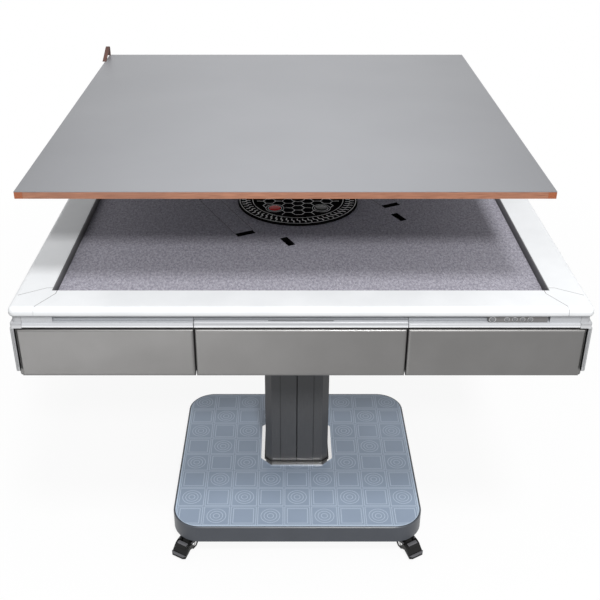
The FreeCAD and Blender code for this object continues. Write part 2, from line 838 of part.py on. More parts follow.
# Fold hinge: a saddle bracket on the column, a pin and the cradle under the head.
def make_head_cradle():
    body = new_body("head_cradle")
    plan = new_sketch(body, level=BRACKET_TOP)
    rectangle(plan, "-cradle_width / 2", "cradle_width / 2", "-cradle_depth / 2", "cradle_depth / 2")
    pad(body, plan, "cradle_thickness")
    start = "cheek_spread + cheek_thickness + knuckle_gap"
    profile = new_sketch(body, "YZ_Plane", start)
    hinge_profile(profile, "-pin_forward + 3 * ear_radius")
    knuckle = pad(body, profile, "knuckle_thickness")
    bore = new_sketch(body, "YZ_Plane", start)
    circle(bore, "-pin_forward", PIN_HEIGHT, "pin_radius + pin_clearance")
    hole = cut(body, bore, "knuckle_thickness", backwards=True)
    mirror_copy(body, "YZ_Plane", [knuckle, hole])


def hinge_profile(sketch, rear):
    polygon(sketch, [
        ("-pin_forward - ear_radius", f"{PIN_HEIGHT} - ear_radius / 2"),
        ("-pin_forward - ear_radius / 2", f"{PIN_HEIGHT} - ear_radius"),
        ("-pin_forward + ear_radius / 2", f"{PIN_HEIGHT} - ear_radius"),
        (rear, BRACKET_TOP),
        ("-pin_forward - ear_radius", BRACKET_TOP),
    ])


def make_fold_bracket():
    body = new_body("fold_bracket")
    plan = new_sketch(body, level=BRACKET_LOW)
    half = "bracket_width / 2"
    rectangle(plan, f"-{half}", half, "-bracket_depth / 2", "bracket_depth / 2")
    pad(body, plan, "bracket_plate")
    profile = new_sketch(body, "YZ_Plane", "cheek_spread")
    polygon(profile, [
        ("-bracket_depth / 2", f"{BRACKET_LOW} + bracket_plate"),
        ("bracket_depth / 2", f"{BRACKET_LOW} + bracket_plate"),
        ("bracket_depth / 2", BRACKET_TOP),
        ("-pin_forward + 2 * ear_radius", BRACKET_TOP),
        ("-pin_forward + ear_radius / 2", f"{PIN_HEIGHT} + ear_radius"),
        ("-pin_forward - ear_radius / 2", f"{PIN_HEIGHT} + ear_radius"),
        ("-pin_forward - ear_radius", f"{PIN_HEIGHT} + ear_radius / 2"),
        ("-pin_forward - ear_radius", f"{PIN_HEIGHT} - ear_radius / 2"),
        ("-pin_forward - ear_radius / 2", f"{PIN_HEIGHT} - ear_radius"),
    ])
    cheek = pad(body, profile, "cheek_thickness")
    bore = new_sketch(body, "YZ_Plane", "cheek_spread")
    circle(bore, "-pin_forward", PIN_HEIGHT, "pin_radius + pin_clearance")
    hole = cut(body, bore, "cheek_thickness", backwards=True)
    mirror_copy(body, "YZ_Plane", [cheek, hole])


def make_fold_pin():
    pin = doc.addObject("Part::Cylinder", "fold_pin")
    parts["fold_pin"] = pin
    half = "(cheek_spread + cheek_thickness + knuckle_gap + knuckle_thickness + pin_overhang)"
    bind(pin, "Radius", "pin_radius")
    bind(pin, "Height", f"2 * {half}")
    pin.Placement.Rotation = FreeCAD.Rotation(vector(0, 1, 0), 90)
    bind(pin, "Placement.Base.x", f"-{half}")
    bind(pin, "Placement.Base.y", "-pin_forward")
    bind(pin, "Placement.Base.z", PIN_HEIGHT)
    doc.recompute()


# Column: two octagonal half shells round a steel tube that is bolted to the base.
def half_octagon(width, depth, chamfer, seam):
    return [
        (seam, f"-{depth}"),
        (f"{width} - {chamfer}", f"-{depth}"),
        (width, f"-{depth} + {chamfer}"),
        (width, f"{depth} - {chamfer}"),
        (f"{width} - {chamfer}", depth),
        (seam, depth),
    ]


def make_column_shell(label, sign):
    body = new_body(label)
    low = f"({BASE_TOP} + collar_thickness)"
    seam = "column_seam / 2"
    outside = half_octagon("(column_width / 2)", "(column_depth / 2)", "column_chamfer", seam)
    wall = "(column_width / 2 - column_wall)"
    chamfer = "(column_chamfer - column_wall * (2 - sqrt(2)))"
    inside = half_octagon(wall, "(column_depth / 2 - column_wall)", chamfer, seam)
    plan = new_sketch(body, level=low)
    polygon(plan, [(f"{sign} * ({x})", y) for x, y in outside + inside[::-1]])
    pad(body, plan, f"{BRACKET_LOW} - {low}")
    grooves = new_sketch(body, level=BRACKET_LOW)
    left = f"{sign} * (column_groove_place - column_groove_width / 2)"
    right = f"{sign} * (column_groove_place + column_groove_width / 2)"
    for y in ("-", ""):
        edge = f"{y}(column_depth / 2 + overrun)"
        rectangle(grooves, left, right, edge, f"{y}(column_depth / 2 - column_groove_depth)")
    cut(body, grooves, f"{BRACKET_LOW} - {low}")


def make_column_post():
    body = new_body("column_post")
    plan = new_sketch(body, level=BASE_TOP)
    flange = "post_flange / 2"
    rectangle(plan, f"-{flange}", flange, f"-{flange}", flange)
    for x, y in CORNERS:
        circle(plan, f"{x} * bolt_spread", f"{y} * bolt_spread", "bolt_radius + slide_gap")
    pad(body, plan, "post_flange_thickness")
    tube = new_sketch(body, level=f"{BASE_TOP} + post_flange_thickness")
    for half in ("post_tube / 2", "post_tube / 2 - post_tube_wall"):
        rectangle(tube, f"-({half})", half, f"-({half})", half)
    pad(body, tube, f"{BRACKET_LOW} - {BASE_TOP} - post_flange_thickness")


def make_column_bolts():
    body = new_body("column_bolts")
    shank = new_sketch(body, level=BASE_TOP)
    head = f"{BASE_TOP} + post_flange_thickness"
    circle(shank, "bolt_spread", "bolt_spread", "bolt_radius")
    pad(body, shank, "post_flange_thickness")
    cap = new_sketch(body, level=head)
    corner = "bolt_head_radius"
    polygon(cap, [
        (f"bolt_spread + {corner} * cos({step} * 60)", f"bolt_spread + {corner} * sin({step} * 60)")
        for step in range(6)
    ])
    pad(body, cap, "bolt_head_height")
    turn_copies(body)


def make_column_collar():
    body = new_body("column_collar")
    plan = new_sketch(body, level=BASE_TOP)
    for half, chamfer in (("collar_width / 2", "collar_chamfer"), ("(post_flange / 2 + seam_gap)", None)):
        if chamfer:
            right = half_octagon(f"({half})", f"({half})", chamfer, "0")[1:-1]
            polygon(plan, right + [(f"-({x})", y) for x, y in right[::-1]])
        else:
            rectangle(plan, f"-{half}", half, f"-{half}", half)
    pad(body, plan, "collar_thickness")


# Base: a deep shell with bosses for the casters, and the thin top panel let into its rim.
def base_outline(sketch, inset):
    half_width = f"(base_width / 2 - {inset})"
    half_depth = f"(base_depth / 2 - {inset})"
    rounded_rectangle(
        sketch,
        f"-{half_width}",
        half_width,
        f"-base_forward - {half_depth}",
        f"-base_forward + {half_depth}",
        f"base_radius - {inset}",
    )


def caster_centres():
    x = "(base_width / 2 - caster_inset)"
    y = "(base_depth / 2 - caster_inset)"
    return [(f"{i} * {x}", f"-base_forward + {j} * {y}") for i, j in CORNERS]


def make_base_shell():
    body = new_body("base_shell")
    plan = new_sketch(body, level="base_clearance")
    base_outline(plan, "0")
    pad(body, plan, "base_height")
    on_rim = lambda edge: lies_at(edge, "Z", BASE_TOP)
    bevel_edges(body, "base_edge_bevel", on_rim)
    seat = new_sketch(body, level=BASE_TOP)
    base_outline(seat, "base_rim")
    cut(body, seat, "base_panel")
    hollow = "base_height - base_panel - base_deck"
    cavity = new_sketch(body, level="base_clearance")
    base_outline(cavity, "base_wall")
    cut(body, cavity, hollow, backwards=True)
    ribs = new_sketch(body, level="base_clearance")
    half_width = "(base_width / 2 - base_wall)"
    half_depth = "(base_depth / 2 - base_wall)"
    for place in ("-post_flange / 2", "post_flange / 2"):
        rectangle(ribs, f"{place} - base_rib / 2", f"{place} + base_rib / 2", f"-base_forward - {half_depth}",
                  f"-base_forward + {half_depth}")
    pad(body, ribs, hollow)
    bosses = new_sketch(body, level="base_clearance")
    for x, y in caster_centres():
        circle(bosses, x, y, "boss_radius")
    pad(body, bosses, hollow)


def make_base_panel():
    body = new_body("base_top_panel")
    plan = new_sketch(body, level=f"{BASE_TOP} - base_panel")
    base_outline(plan, "(base_rim + seam_gap)")
    pad(body, plan, "base_panel")


# Casters: swivel fork with a riveted brake pedal, and a wheel on the axle.
def place_caster(body, number):
    x, y = caster_centres()[number - 1]
    sign_x, sign_y = CORNERS[number - 1]
    aside = math.radians(SIZES["caster_heading"])
    heading = math.degrees(math.atan2(sign_y * math.sin(aside), sign_x * math.cos(aside)))
    body.Placement = FreeCAD.Placement(vector(0, 0), FreeCAD.Rotation(vector(0, 0, 1), heading))
    bind(body, "Placement.Base.x", x)
    bind(body, "Placement.Base.y", y)
    doc.recompute()


def make_caster_fork(number):
    body = new_body(f"caster_fork_{number}")
    plate = new_sketch(body, level="base_clearance - caster_plate")
    rectangle(plate, "-caster_plate_half", "caster_plate_half", "-caster_plate_half", "caster_plate_half")
    pad(body, plate, "caster_plate")
    crown = "(base_clearance - caster_plate)"
    profile = new_sketch(body, "XZ_Plane")
    polygon(profile, [
        ("caster_trail - fork_radius", "wheel_radius - fork_radius / 2"),
        ("caster_trail - fork_radius / 2", "wheel_radius - fork_radius"),
        ("caster_trail + fork_radius / 2", "wheel_radius - fork_radius"),
        ("caster_trail + fork_radius", "wheel_radius - fork_radius / 2"),
        ("pivot_reach + 2 * pivot_radius", "pivot_height - pivot_radius"),
        ("pivot_reach + 2 * pivot_radius", "pivot_height + pivot_radius"),
        ("caster_crown_half", crown),
        ("-caster_crown_half", crown),
        ("-caster_crown_half", f"{crown} - fork_crown"),
    ])
    pad(body, profile, "fork_width", both_ways=True)
    slot = new_sketch(body, "XZ_Plane")
    circle(slot, "caster_trail", "wheel_radius", "wheel_radius + fork_gap")
    cut(body, slot, "wheel_width + 2 * fork_gap", both_ways=True)
    axle = new_sketch(body, "XZ_Plane")
    circle(axle, "caster_trail", "wheel_radius", "axle_radius")
    pad(body, axle, "fork_width", both_ways=True)
    rivet = new_sketch(body, "XZ_Plane", level="fork_width / 2")
    circle(rivet, "pivot_reach", "pivot_height", "pivot_radius")
    stub = pad(body, rivet, "pivot_length")
    mirror_copy(body, "XZ_Plane", [stub])
    place_caster(body, number)


def make_caster_wheel(number):
    body = new_body(f"caster_wheel_{number}")
    profile = new_sketch(body, "YZ_Plane", level="caster_trail", up="wheel_radius")
    half = "wheel_width / 2"
    bore = "axle_radius + axle_clearance"
    side = [
        (half, bore),
        (half, "wheel_radius - wheel_bevel"),
        (f"{half} - wheel_bevel", "wheel_radius"),
    ]
    polygon(profile, side + [(f"-({x})", y) for x, y in side[::-1]])
    revolve(body, profile, "H_Axis")
    place_caster(body, number)


def make_caster_pedal(number):
    body = new_body(f"caster_pedal_{number}")
    inner = "fork_width / 2 + pedal_gap"
    width = f"2 * ({inner} + pedal_arm)"
    tip = "(pedal_reach + pedal_length)"
    slope = "(pivot_height - pedal_drop)"
    profile = new_sketch(body, "XZ_Plane")
    polygon(profile, [
        ("pedal_reach + pedal_brake_gap", "pivot_height - pedal_depth"),
        (f"{tip} - pedal_lip", "pedal_drop - pedal_depth / 2"),
        (tip, "pedal_drop - pedal_depth / 4"),
        (tip, "pedal_drop + pedal_lip_rise / 2"),
        (f"{tip} - pedal_lip / 2", "pedal_drop + pedal_lip_rise"),
        (f"{tip} - pedal_lip", "pedal_drop + pedal_lip_rise"),
        (f"{tip} - pedal_lip", "pedal_drop"),
        ("pedal_reach + pedal_lip", "pivot_height"),
        ("pedal_reach", "pivot_height + pivot_radius"),
    ])
    pad(body, profile, width, both_ways=True)
    bar = new_sketch(body, "XZ_Plane")
    polygon(bar, [
        ("pedal_reach", "pivot_height"),
        ("pedal_reach + 2 * pedal_lip", f"pivot_height - {slope} / 2"),
        ("pedal_reach + 3 * pedal_lip / 2", "pivot_height + pedal_bar_rise / 2"),
        ("pedal_reach + pedal_lip", "pivot_height + pedal_bar_rise"),
        ("pedal_reach", "pivot_height + pedal_bar_rise"),
    ])
    pad(body, bar, "pedal_bar_width", both_ways=True)
    corners = new_sketch(body, level="pivot_height")
    for sign in ("", "-"):
        edge = f"{sign}({width} / 2 + overrun)"
        polygon(corners, [
            (f"{tip} + overrun", edge),
            (f"{tip} - pedal_corner", edge),
            (f"{tip} + overrun", f"{sign}({width} / 2 - pedal_corner)"),
        ])
    cut(body, corners, "pivot_height")
    arm = new_sketch(body, "XZ_Plane", level=inner)
    polygon(arm, [
        ("pivot_reach - 2 * pivot_radius", "pivot_height - 2 * pivot_radius"),
        ("pedal_reach + pedal_brake_gap", "pivot_height - pedal_depth"),
        ("pedal_reach", "pivot_height + pivot_radius"),
        ("pivot_reach - 2 * pivot_radius", "pivot_height + 2 * pivot_radius"),
    ])
    side = pad(body, arm, "pedal_arm")
    bore = new_sketch(body, "XZ_Plane", level=inner)
    circle(bore, "pivot_reach", "pivot_height", "pivot_radius + axle_clearance")
    hole = cut(body, bore, "pedal_arm", backwards=True)
    mirror_copy(body, "XZ_Plane", [side, hole])
    place_caster(body, number)


# Cover board: a skinned core with timber edging, pads below and a leather pull at one corner.
def make_cover_board():
    body = new_body("cover_board")
    core = new_sketch(body, level=COVER_LOW)
    half = f"({COVER_HALF} - cover_edging)"
    rectangle(core, f"-{half}", half, f"-{half}", half)
    pad(body, core, "cover_thickness - cover_skin")
    skin = new_sketch(body, level=f"{COVER_LOW} + cover_thickness - cover_skin")
    half = COVER_HALF
    rectangle(skin, f"-{half}", half, f"-{half}", half)
    pad(body, skin, "cover_skin")
    feet = new_sketch(body, level=COVER_LOW)
    place = f"({COVER_HALF} - pad_inset)"
    for x, y in CORNERS:
        left = f"{x} * {place} - pad_half"
        front = f"{y} * {place} - pad_half"
        rectangle(feet, left, f"{left} + 2 * pad_half", front, f"{front} + 2 * pad_half")
    pad(body, feet, "frame_thickness - cover_thickness", backwards=True)
    place_cover(body)


def make_cover_edging():
    body = new_body("cover_edging")
    half = COVER_HALF
    runs = new_sketch(body, level=COVER_LOW)
    rectangle(runs, f"-{half}", f"-{half} + cover_edging", f"-{half}", half)
    rectangle(runs, f"{half} - cover_edging", half, f"-{half}", half)
    inner = f"({half} - cover_edging)"
    ends = f"({half} - cover_edging - seam_gap / 4)"
    rectangle(runs, f"-{ends}", ends, f"-{half}", f"-{inner}")
    rectangle(runs, f"-{ends}", ends, inner, half)
    pad(body, runs, "cover_thickness - cover_skin")
    place_cover(body)


def make_cover_strap():
    body = new_body("cover_strap")
    side = new_sketch(body, "YZ_Plane", level=f"-{COVER_HALF} - strap_overhang")
    outer = strap_run(side, "strap_radius")
    inner = strap_run(side, "(strap_radius - strap_thickness)", outer)
    for end, point in ((outer, 1), (outer + 2, 2)):
        other = end - outer + inner
        line = sketch_line(side, side.getPoint(end, point), side.getPoint(other, point))
        side.addConstraint(Sketcher.Constraint("Coincident", line, 1, end, point))
        side.addConstraint(Sketcher.Constraint("Coincident", line, 2, other, point))
    pad(body, side, "strap_width")
    place_cover(body)


def strap_run(sketch, radius, along=None):
    """Upright leg, bend and sloping leg; a second run keeps its slope from the first."""
    foot = f"({COVER_LOW} + cover_thickness)"
    back = f"({COVER_HALF} - strap_back - strap_radius)"
    up = f"({foot} + strap_rise - strap_radius)"
    y, z, r, low = (value(text) for text in (back, up, radius, foot))
    reach = vector(value(f"{back} + strap_radius - strap_span") - y, low - z)
    bend = math.atan2(reach.y, reach.x) + 2 * math.pi - math.acos(value("strap_radius") / reach.Length)
    leaves = vector(y + r * math.cos(bend), z + r * math.sin(bend))
    length = (leaves.y - low) / -math.cos(bend)
    lands = vector(leaves.x - length * math.sin(bend), low)
    first = sketch_line(sketch, vector(y + r, low), vector(y + r, z))
    ring = Part.Circle(vector(y, z), vector(0, 0, 1), r)
    sketch.addGeometry(Part.ArcOfCircle(ring, 0, bend), False)
    sketch_line(sketch, leaves, lands)
    sketch.addConstraint(Sketcher.Constraint("Tangent", first, 2, first + 1, 1))
    sketch.addConstraint(Sketcher.Constraint("Tangent", first + 1, 2, first + 2, 1))
    sketch.addConstraint(Sketcher.Constraint("Vertical", first))
    hold(sketch, "Radius", (first + 1,), radius)
    hold(sketch, "DistanceX", (-1, 1, first + 1, 3), back)
    hold(sketch, "DistanceY", (-1, 1, first + 1, 3), up)
    hold(sketch, "DistanceY", (-1, 1, first, 1), foot)
    hold(sketch, "DistanceY", (-1, 1, first + 2, 2), foot)
    if along is None:
        hold(sketch, "DistanceX", (-1, 1, first + 2, 2), f"{back} + strap_radius - strap_span")
    else:
        sketch.addConstraint(Sketcher.Constraint("Parallel", first + 2, along + 2))
    return first


def sketch_line(sketch, start, end):
    return sketch.addGeometry(Part.LineSegment(start, end), False)


def place_cover(body):
    bind(body, "Placement.Base.x", "-cover_left")
    bind(body, "Placement.Base.y", "-cover_forward")
    doc.recompute()


def make_all():
    make_frame_rails()
    make_frame_corners()
    make_recess_liner()
    make_skirt_bands()
    make_corner_posts()
    make_drawers()
    make_drawer_runners()
    make_chassis_pan()
    make_play_board()
    make_tile_lift()
    make_centre_disc()
    make_disc_buttons()
    make_lift_housing()
    make_shuffle_disc()
    make_shuffle_motor()
    make_control_panel()
    make_keys()
    make_head_cradle()
    make_fold_bracket()
    make_fold_pin()
    make_column_shell("column_left_shell", -1)
    make_column_shell("column_right_shell", 1)
    make_column_post()
    make_column_bolts()
    make_column_collar()
    make_base_shell()
    make_base_panel()
    for number in range(1, SIDES + 1):
        make_caster_fork(number)
        make_caster_wheel(number)
        make_caster_pedal(number)
    make_cover_board()
    make_cover_edging()
    make_cover_strap()


def check_document():
    doc.recompute()
    for item in doc.Objects:
        if {"Invalid", "Error"} & set(item.State):
            raise RuntimeError(f"{item.Label} failed")
    for label, item in parts.items():
        if item.Shape.isNull() or not item.Shape.isValid():
            raise RuntimeError(f"{label} has no valid shape")


def write_parts():
    os.makedirs("parts", exist_ok=True)
    for label, item in parts.items():
        item.Shape.exportStep(f"parts/{label}.step")


make_all()
check_document()
write_parts()
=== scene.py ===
import math

import bmesh
import bpy
from mathutils import Matrix, Vector


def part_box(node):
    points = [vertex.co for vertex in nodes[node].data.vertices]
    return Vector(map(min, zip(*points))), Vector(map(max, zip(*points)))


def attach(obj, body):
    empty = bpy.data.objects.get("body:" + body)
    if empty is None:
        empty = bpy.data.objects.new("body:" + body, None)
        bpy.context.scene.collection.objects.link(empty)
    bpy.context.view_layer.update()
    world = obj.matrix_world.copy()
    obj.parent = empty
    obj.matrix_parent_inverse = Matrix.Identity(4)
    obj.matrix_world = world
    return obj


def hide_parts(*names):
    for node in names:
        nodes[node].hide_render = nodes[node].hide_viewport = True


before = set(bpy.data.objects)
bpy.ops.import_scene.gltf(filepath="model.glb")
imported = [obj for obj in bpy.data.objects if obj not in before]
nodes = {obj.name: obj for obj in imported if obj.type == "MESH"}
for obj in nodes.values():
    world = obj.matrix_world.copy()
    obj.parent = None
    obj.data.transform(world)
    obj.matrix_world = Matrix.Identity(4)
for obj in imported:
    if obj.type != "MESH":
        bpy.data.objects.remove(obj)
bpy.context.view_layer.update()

MM = 0.001
SIDES = ("front", "right", "back", "left")
CORNERS = ((-1, -1), (1, -1), (1, 1), (-1, 1))
NUMBERS = (1, 2, 3, 4)

# Levels and faces read from the frame.
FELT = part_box("play_board")[1].z
RAIL_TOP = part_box("frame_rails")[1].z
SKIRT_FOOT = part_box("skirt_bands")[0].z
SKIRT_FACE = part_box("skirt_bands")[1].x
DRAWER_FACE = -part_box("drawer_front_a")[0].y
BASE_MIDDLE = sum(corner.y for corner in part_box("base_shell")) / 2

# Casters: how far the swivels stand from the middle of the base, and their heading off the x axis.
CASTER_X = 236 * MM
CASTER_Y = 205 * MM
CASTER_HEADING = math.radians(60)


def caster_place(number):
    """The place of one caster: its own x axis runs from the swivel out to the pedal."""
    x, y = CORNERS[number - 1]
    heading = math.atan2(y * math.sin(CASTER_HEADING), x * math.cos(CASTER_HEADING))
    place = Matrix.Translation((x * CASTER_X, BASE_MIDDLE + y * CASTER_Y, 0))
    return place @ Matrix.Rotation(heading, 4, "Z")


# Surfaces: a principled shader with a few texture nodes in front of it.
class Look:
    COAT_ROUGHNESS = 0.08
    BEVEL_SAMPLES = 8

    def __init__(self, name, roughness=0.4, metallic=0.0, coat=0.0, specular=0.5):
        self.material = bpy.data.materials.new(name)
        self.material.use_nodes = True
        self.tree = self.material.node_tree
        self.shader = self.tree.nodes["Principled BSDF"]
        settings = {
            "Roughness": roughness,
            "Metallic": metallic,
            "Coat Weight": coat,
            "Coat Roughness": self.COAT_ROUGHNESS,
            "Specular IOR Level": specular,
        }
        for key, setting in settings.items():
            self.shader.inputs[key].default_value = setting
        self.place = self.add("ShaderNodeTexCoord").outputs["Object"]

    def add(self, kind, values=(), **settings):
        node = self.tree.nodes.new(kind)
        for key, setting in settings.items():
            setattr(node, key, setting)
        for key, value in dict(values).items():
            self.feed(node.inputs[key], value)
        return node

    def feed(self, socket, value):
        if isinstance(value, bpy.types.NodeSocket):
            self.tree.links.new(value, socket)
        else:
            socket.default_value = value

    def math(self, operation, *values, clamp=False):
        settings = dict(operation=operation, use_clamp=clamp)
        return self.add("ShaderNodeMath", enumerate(values), **settings).outputs[0]

    def axes(self, place=None):
        return self.add("ShaderNodeSeparateXYZ", {0: place or self.place}).outputs

    def size(self, value):
        return self.math("ABSOLUTE", value)

    def off(self, value, middle):
        return self.size(self.math("SUBTRACT", value, middle))

    def above(self, value, level):
        return self.math("GREATER_THAN", value, level)

    def below(self, value, level):
        return self.math("LESS_THAN", value, level)

    def all_of(self, first, *others):
        for other in others:
            first = self.math("MULTIPLY", first, other)
        return first

    def any_of(self, first, *others):
        for other in others:
            first = self.math("ADD", first, other, clamp=True)
        return first

    def length(self, across, along):
        squares = [self.math("MULTIPLY", value, value) for value in (across, along)]
        return self.math("SQRT", self.math("ADD", *squares))

    def reach(self):
        """How far a point lies out from the middle of the table, towards the nearest side."""
        axes = self.axes()
        return self.math("MAXIMUM", self.size(axes["X"]), self.size(axes["Y"]))

    def stretched(self, x, y, z):
        return self.add("ShaderNodeMapping", {"Vector": self.place, "Scale": (x, y, z)}).outputs[0]

    def noise(self, scale, detail, place=None):
        values = {"Vector": place or self.place, "Scale": scale, "Detail": detail}
        return self.add("ShaderNodeTexNoise", values).outputs[0]

    def cells(self, scale):
        return self.add("ShaderNodeTexVoronoi", {"Vector": self.place, "Scale": scale}).outputs[0]

    def mix(self, share, first, second):
        values = {0: share, 6: colour(first), 7: colour(second)}
        return self.add("ShaderNodeMix", values, data_type="RGBA").outputs[2]

    def between(self, value, low, high):
        """From 0 at the low value to 1 at the high one."""
        return self.add("ShaderNodeMapRange", {0: value, 1: low, 2: high}).outputs[0]

    def spread(self, value, width):
        """Noise drawn out about its middle, so that it runs from 0 to 1."""
        return self.between(value, 0.5 - width, 0.5 + width)

    def level(self, value, low, high):
        """From the low value at 0 to the high one at 1."""
        return self.add("ShaderNodeMapRange", {0: value, 3: low, 4: high}).outputs[0]

    def paint(self, source):
        self.feed(self.shader.inputs["Base Color"], source)
        return self

    def rough(self, value, low, high):
        self.feed(self.shader.inputs["Roughness"], self.level(value, low, high))
        return self

    def bump(self, height, depth, strength, round_off=0):
        values = {"Height": height, "Distance": depth, "Strength": strength}
        if round_off:
            bevel = self.add("ShaderNodeBevel", {"Radius": round_off}, samples=self.BEVEL_SAMPLES)
            values["Normal"] = bevel.outputs[0]
        bump = self.add("ShaderNodeBump", values)
        self.feed(self.shader.inputs["Normal"], bump.outputs[0])
        return self


def colour(value):
    if isinstance(value, bpy.types.NodeSocket):
        return value
    if isinstance(value, (int, float)):
        return (value, value, value, 1)
    return (*value, 1)


def plain(name, low, high, grain=900, depth=0.02 * MM, roughness=(0.3, 0.4), **settings):
    """A coat that drifts between two close colours, with a fine grain."""
    look = Look(name, **settings)
    drift = look.noise(scale=14, detail=4)
    fine = look.noise(scale=grain, detail=2)
    look.paint(look.mix(look.spread(drift, 0.15), low, high))
    return look.rough(fine, *roughness).bump(fine, depth, strength=0.5)


def metal(name, low, high, roughness, stretch=(1, 1, 1)):
    look = Look(name, metallic=1.0)
    streak = look.noise(scale=400, detail=3, place=look.stretched(*stretch))
    look.paint(look.mix(streak, low, high))
    return look.rough(streak, *roughness)


def felt_look():
    """Mottled grey felt; below it, the board and lifts are painted near black as the shade inside their
    slots.
    """
    thickness = 0.7 * MM
    carrier = 0.002
    speck_share = 0.4
    dark_fibre, pale_fibre = (0.270, 0.262, 0.298), (0.530, 0.515, 0.582)
    dark_clump, pale_clump = (0.74, 0.74, 0.76), (1.12, 1.12, 1.12)
    look = Look("felt", roughness=0.95, specular=0.1)
    fibre = look.noise(scale=480, detail=5, place=look.stretched(1, 1.5, 1))
    clump = look.noise(scale=230, detail=4, place=look.stretched(1, 0.6, 1))
    fibres = look.mix(look.spread(fibre, 0.12), dark_fibre, pale_fibre)
    clumps = look.mix(look.spread(clump, 0.14), dark_clump, pale_clump)
    values = {0: 1.0, 6: fibres, 7: clumps}
    tone = look.add("ShaderNodeMix", values, data_type="RGBA", blend_type="MULTIPLY").outputs[2]
    # Below the felt layer: painted shade, near black, for the inside of the slots.
    look.paint(look.mix(look.above(look.axes()["Z"], FELT - thickness), carrier, tone))
    speck = look.math("MULTIPLY", look.cells(scale=700), speck_share)
    pile = look.math("ADD", fibre, speck)
    return look.bump(pile, depth=0.6 * MM, strength=0.6)


def wood_look():
    """Long grain on the front and back runs of the edging, end grain on its two sides."""
    side_width = 13 * MM
    dark_streak, pale_streak = (0.22, 0.089, 0.050), (0.44, 0.200, 0.120)
    figure_tone, figure_share = (0.24, 0.105, 0.064), 0.45
    dark_end, pale_end = (0.24, 0.068, 0.024), (0.36, 0.110, 0.044)
    look = Look("edging_timber", roughness=0.45)
    low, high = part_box("cover_edging")
    across = look.off(look.axes()["X"], (low.x + high.x) / 2)
    side = look.above(across, (high.x - low.x) / 2 - side_width)
    lengthwise = look.noise(scale=30, detail=6, place=look.stretched(1.5, 40, 40))
    sideways = look.noise(scale=30, detail=6, place=look.stretched(40, 1.5, 40))
    values = {0: side, 2: lengthwise, 3: sideways}
    grain = look.add("ShaderNodeMix", values, data_type="FLOAT").outputs[0]
    end = look.noise(scale=900, detail=3)
    streaks = look.mix(look.spread(grain, 0.2), dark_streak, pale_streak)
    figure = look.spread(look.noise(scale=8, detail=2), 0.1)
    long_tone = look.mix(look.level(figure, 0.0, figure_share), streaks, figure_tone)
    end_tone = look.mix(look.spread(end, 0.2), dark_end, pale_end)
    look.paint(look.mix(side, long_tone, end_tone))
    return look.bump(grain, depth=0.2 * MM, strength=0.4)


def cover_look():
    """Grey laminate with painted shade: a little darker towards its two sides, and more so at the front."""
    back_shade_share, front_shade_share = 0.19, 0.40
    look = Look("cover_laminate", roughness=0.4)
    drift = look.noise(scale=5, detail=3)
    fine = look.noise(scale=1400, detail=2)
    tone = look.mix(look.spread(drift, 0.2), (0.280, 0.286, 0.307), (0.298, 0.304, 0.325))
    axes = look.axes()
    low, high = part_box("cover_board")
    # Painted shade, growing towards both sides and towards the front.
    from_middle = look.math("SUBTRACT", axes["X"], (low.x + high.x) / 2)
    aside = look.math("DIVIDE", from_middle, (high.x - low.x) / 2)
    shade_ahead = look.level(look.between(axes["Y"], high.y, low.y), back_shade_share, front_shade_share)
    look.paint(look.mix(look.all_of(aside, aside, shade_ahead), tone, 0.0))
    return look.rough(fine, 0.32, 0.42).bump(fine, depth=0.03 * MM, strength=0.4)


def skirt_look():
    """Pale bands, painted grey above their foot as painted shade, so the foot shows as a painted highlight;
    painted shade on the neck above them, grey on its block and deepest at the top of its hollow; a slot
    painted near black as its shade.
    """
    block_depth = 6.5 * MM
    band_depth = (3 * MM, 0.5 * MM)
    band_shade_height = (4.5 * MM, 6.5 * MM)
    hollow_shade_drop = (11 * MM, 1 * MM)
    slot_depth, slot_half_depth = 5 * MM, 1.1 * MM
    slot_half_length = 55.2 * MM
    slot_drop = 9.1 * MM
    slot_tone = 0.01
    look = Look("skirt", roughness=0.3, specular=0.3)
    x, y, z = look.axes()
    reach = look.reach()
    outside = look.between(reach, *(SKIRT_FACE - depth for depth in band_depth))
    inside = look.below(reach, SKIRT_FACE - block_depth)
    fine = look.noise(scale=600, detail=2)
    # Painted highlight: the band stays pale at its foot and is painted grey above it as shade.
    crest = look.mix(fine, (0.80, 0.81, 0.83), (0.84, 0.85, 0.87))
    climb = look.between(z, *(SKIRT_FOOT + height for height in band_shade_height))
    band = look.mix(climb, crest, (0.46, 0.47, 0.49))
    # Painted shade on the neck block under the nose.
    shaded_block = look.mix(fine, (0.43, 0.44, 0.46), (0.48, 0.49, 0.51))
    # Painted shade in the hollow, darkest at its top under the nose.
    rise = look.between(z, *(FELT - drop for drop in hollow_shade_drop))
    hollow = look.mix(rise, (0.47, 0.485, 0.51), (0.15, 0.155, 0.165))
    tone = look.mix(outside, look.mix(inside, shaded_block, hollow), band)
    along = look.math("MINIMUM", look.size(x), look.size(y))
    # The slot is painted near black as the shade inside it.
    slot = look.all_of(
        look.below(look.off(reach, SKIRT_FACE - slot_depth), slot_half_depth),
        look.below(along, slot_half_length),
        look.below(z, FELT - slot_drop),
    )
    look.paint(look.mix(slot, tone, slot_tone))
    return look.rough(fine, 0.22, 0.34)


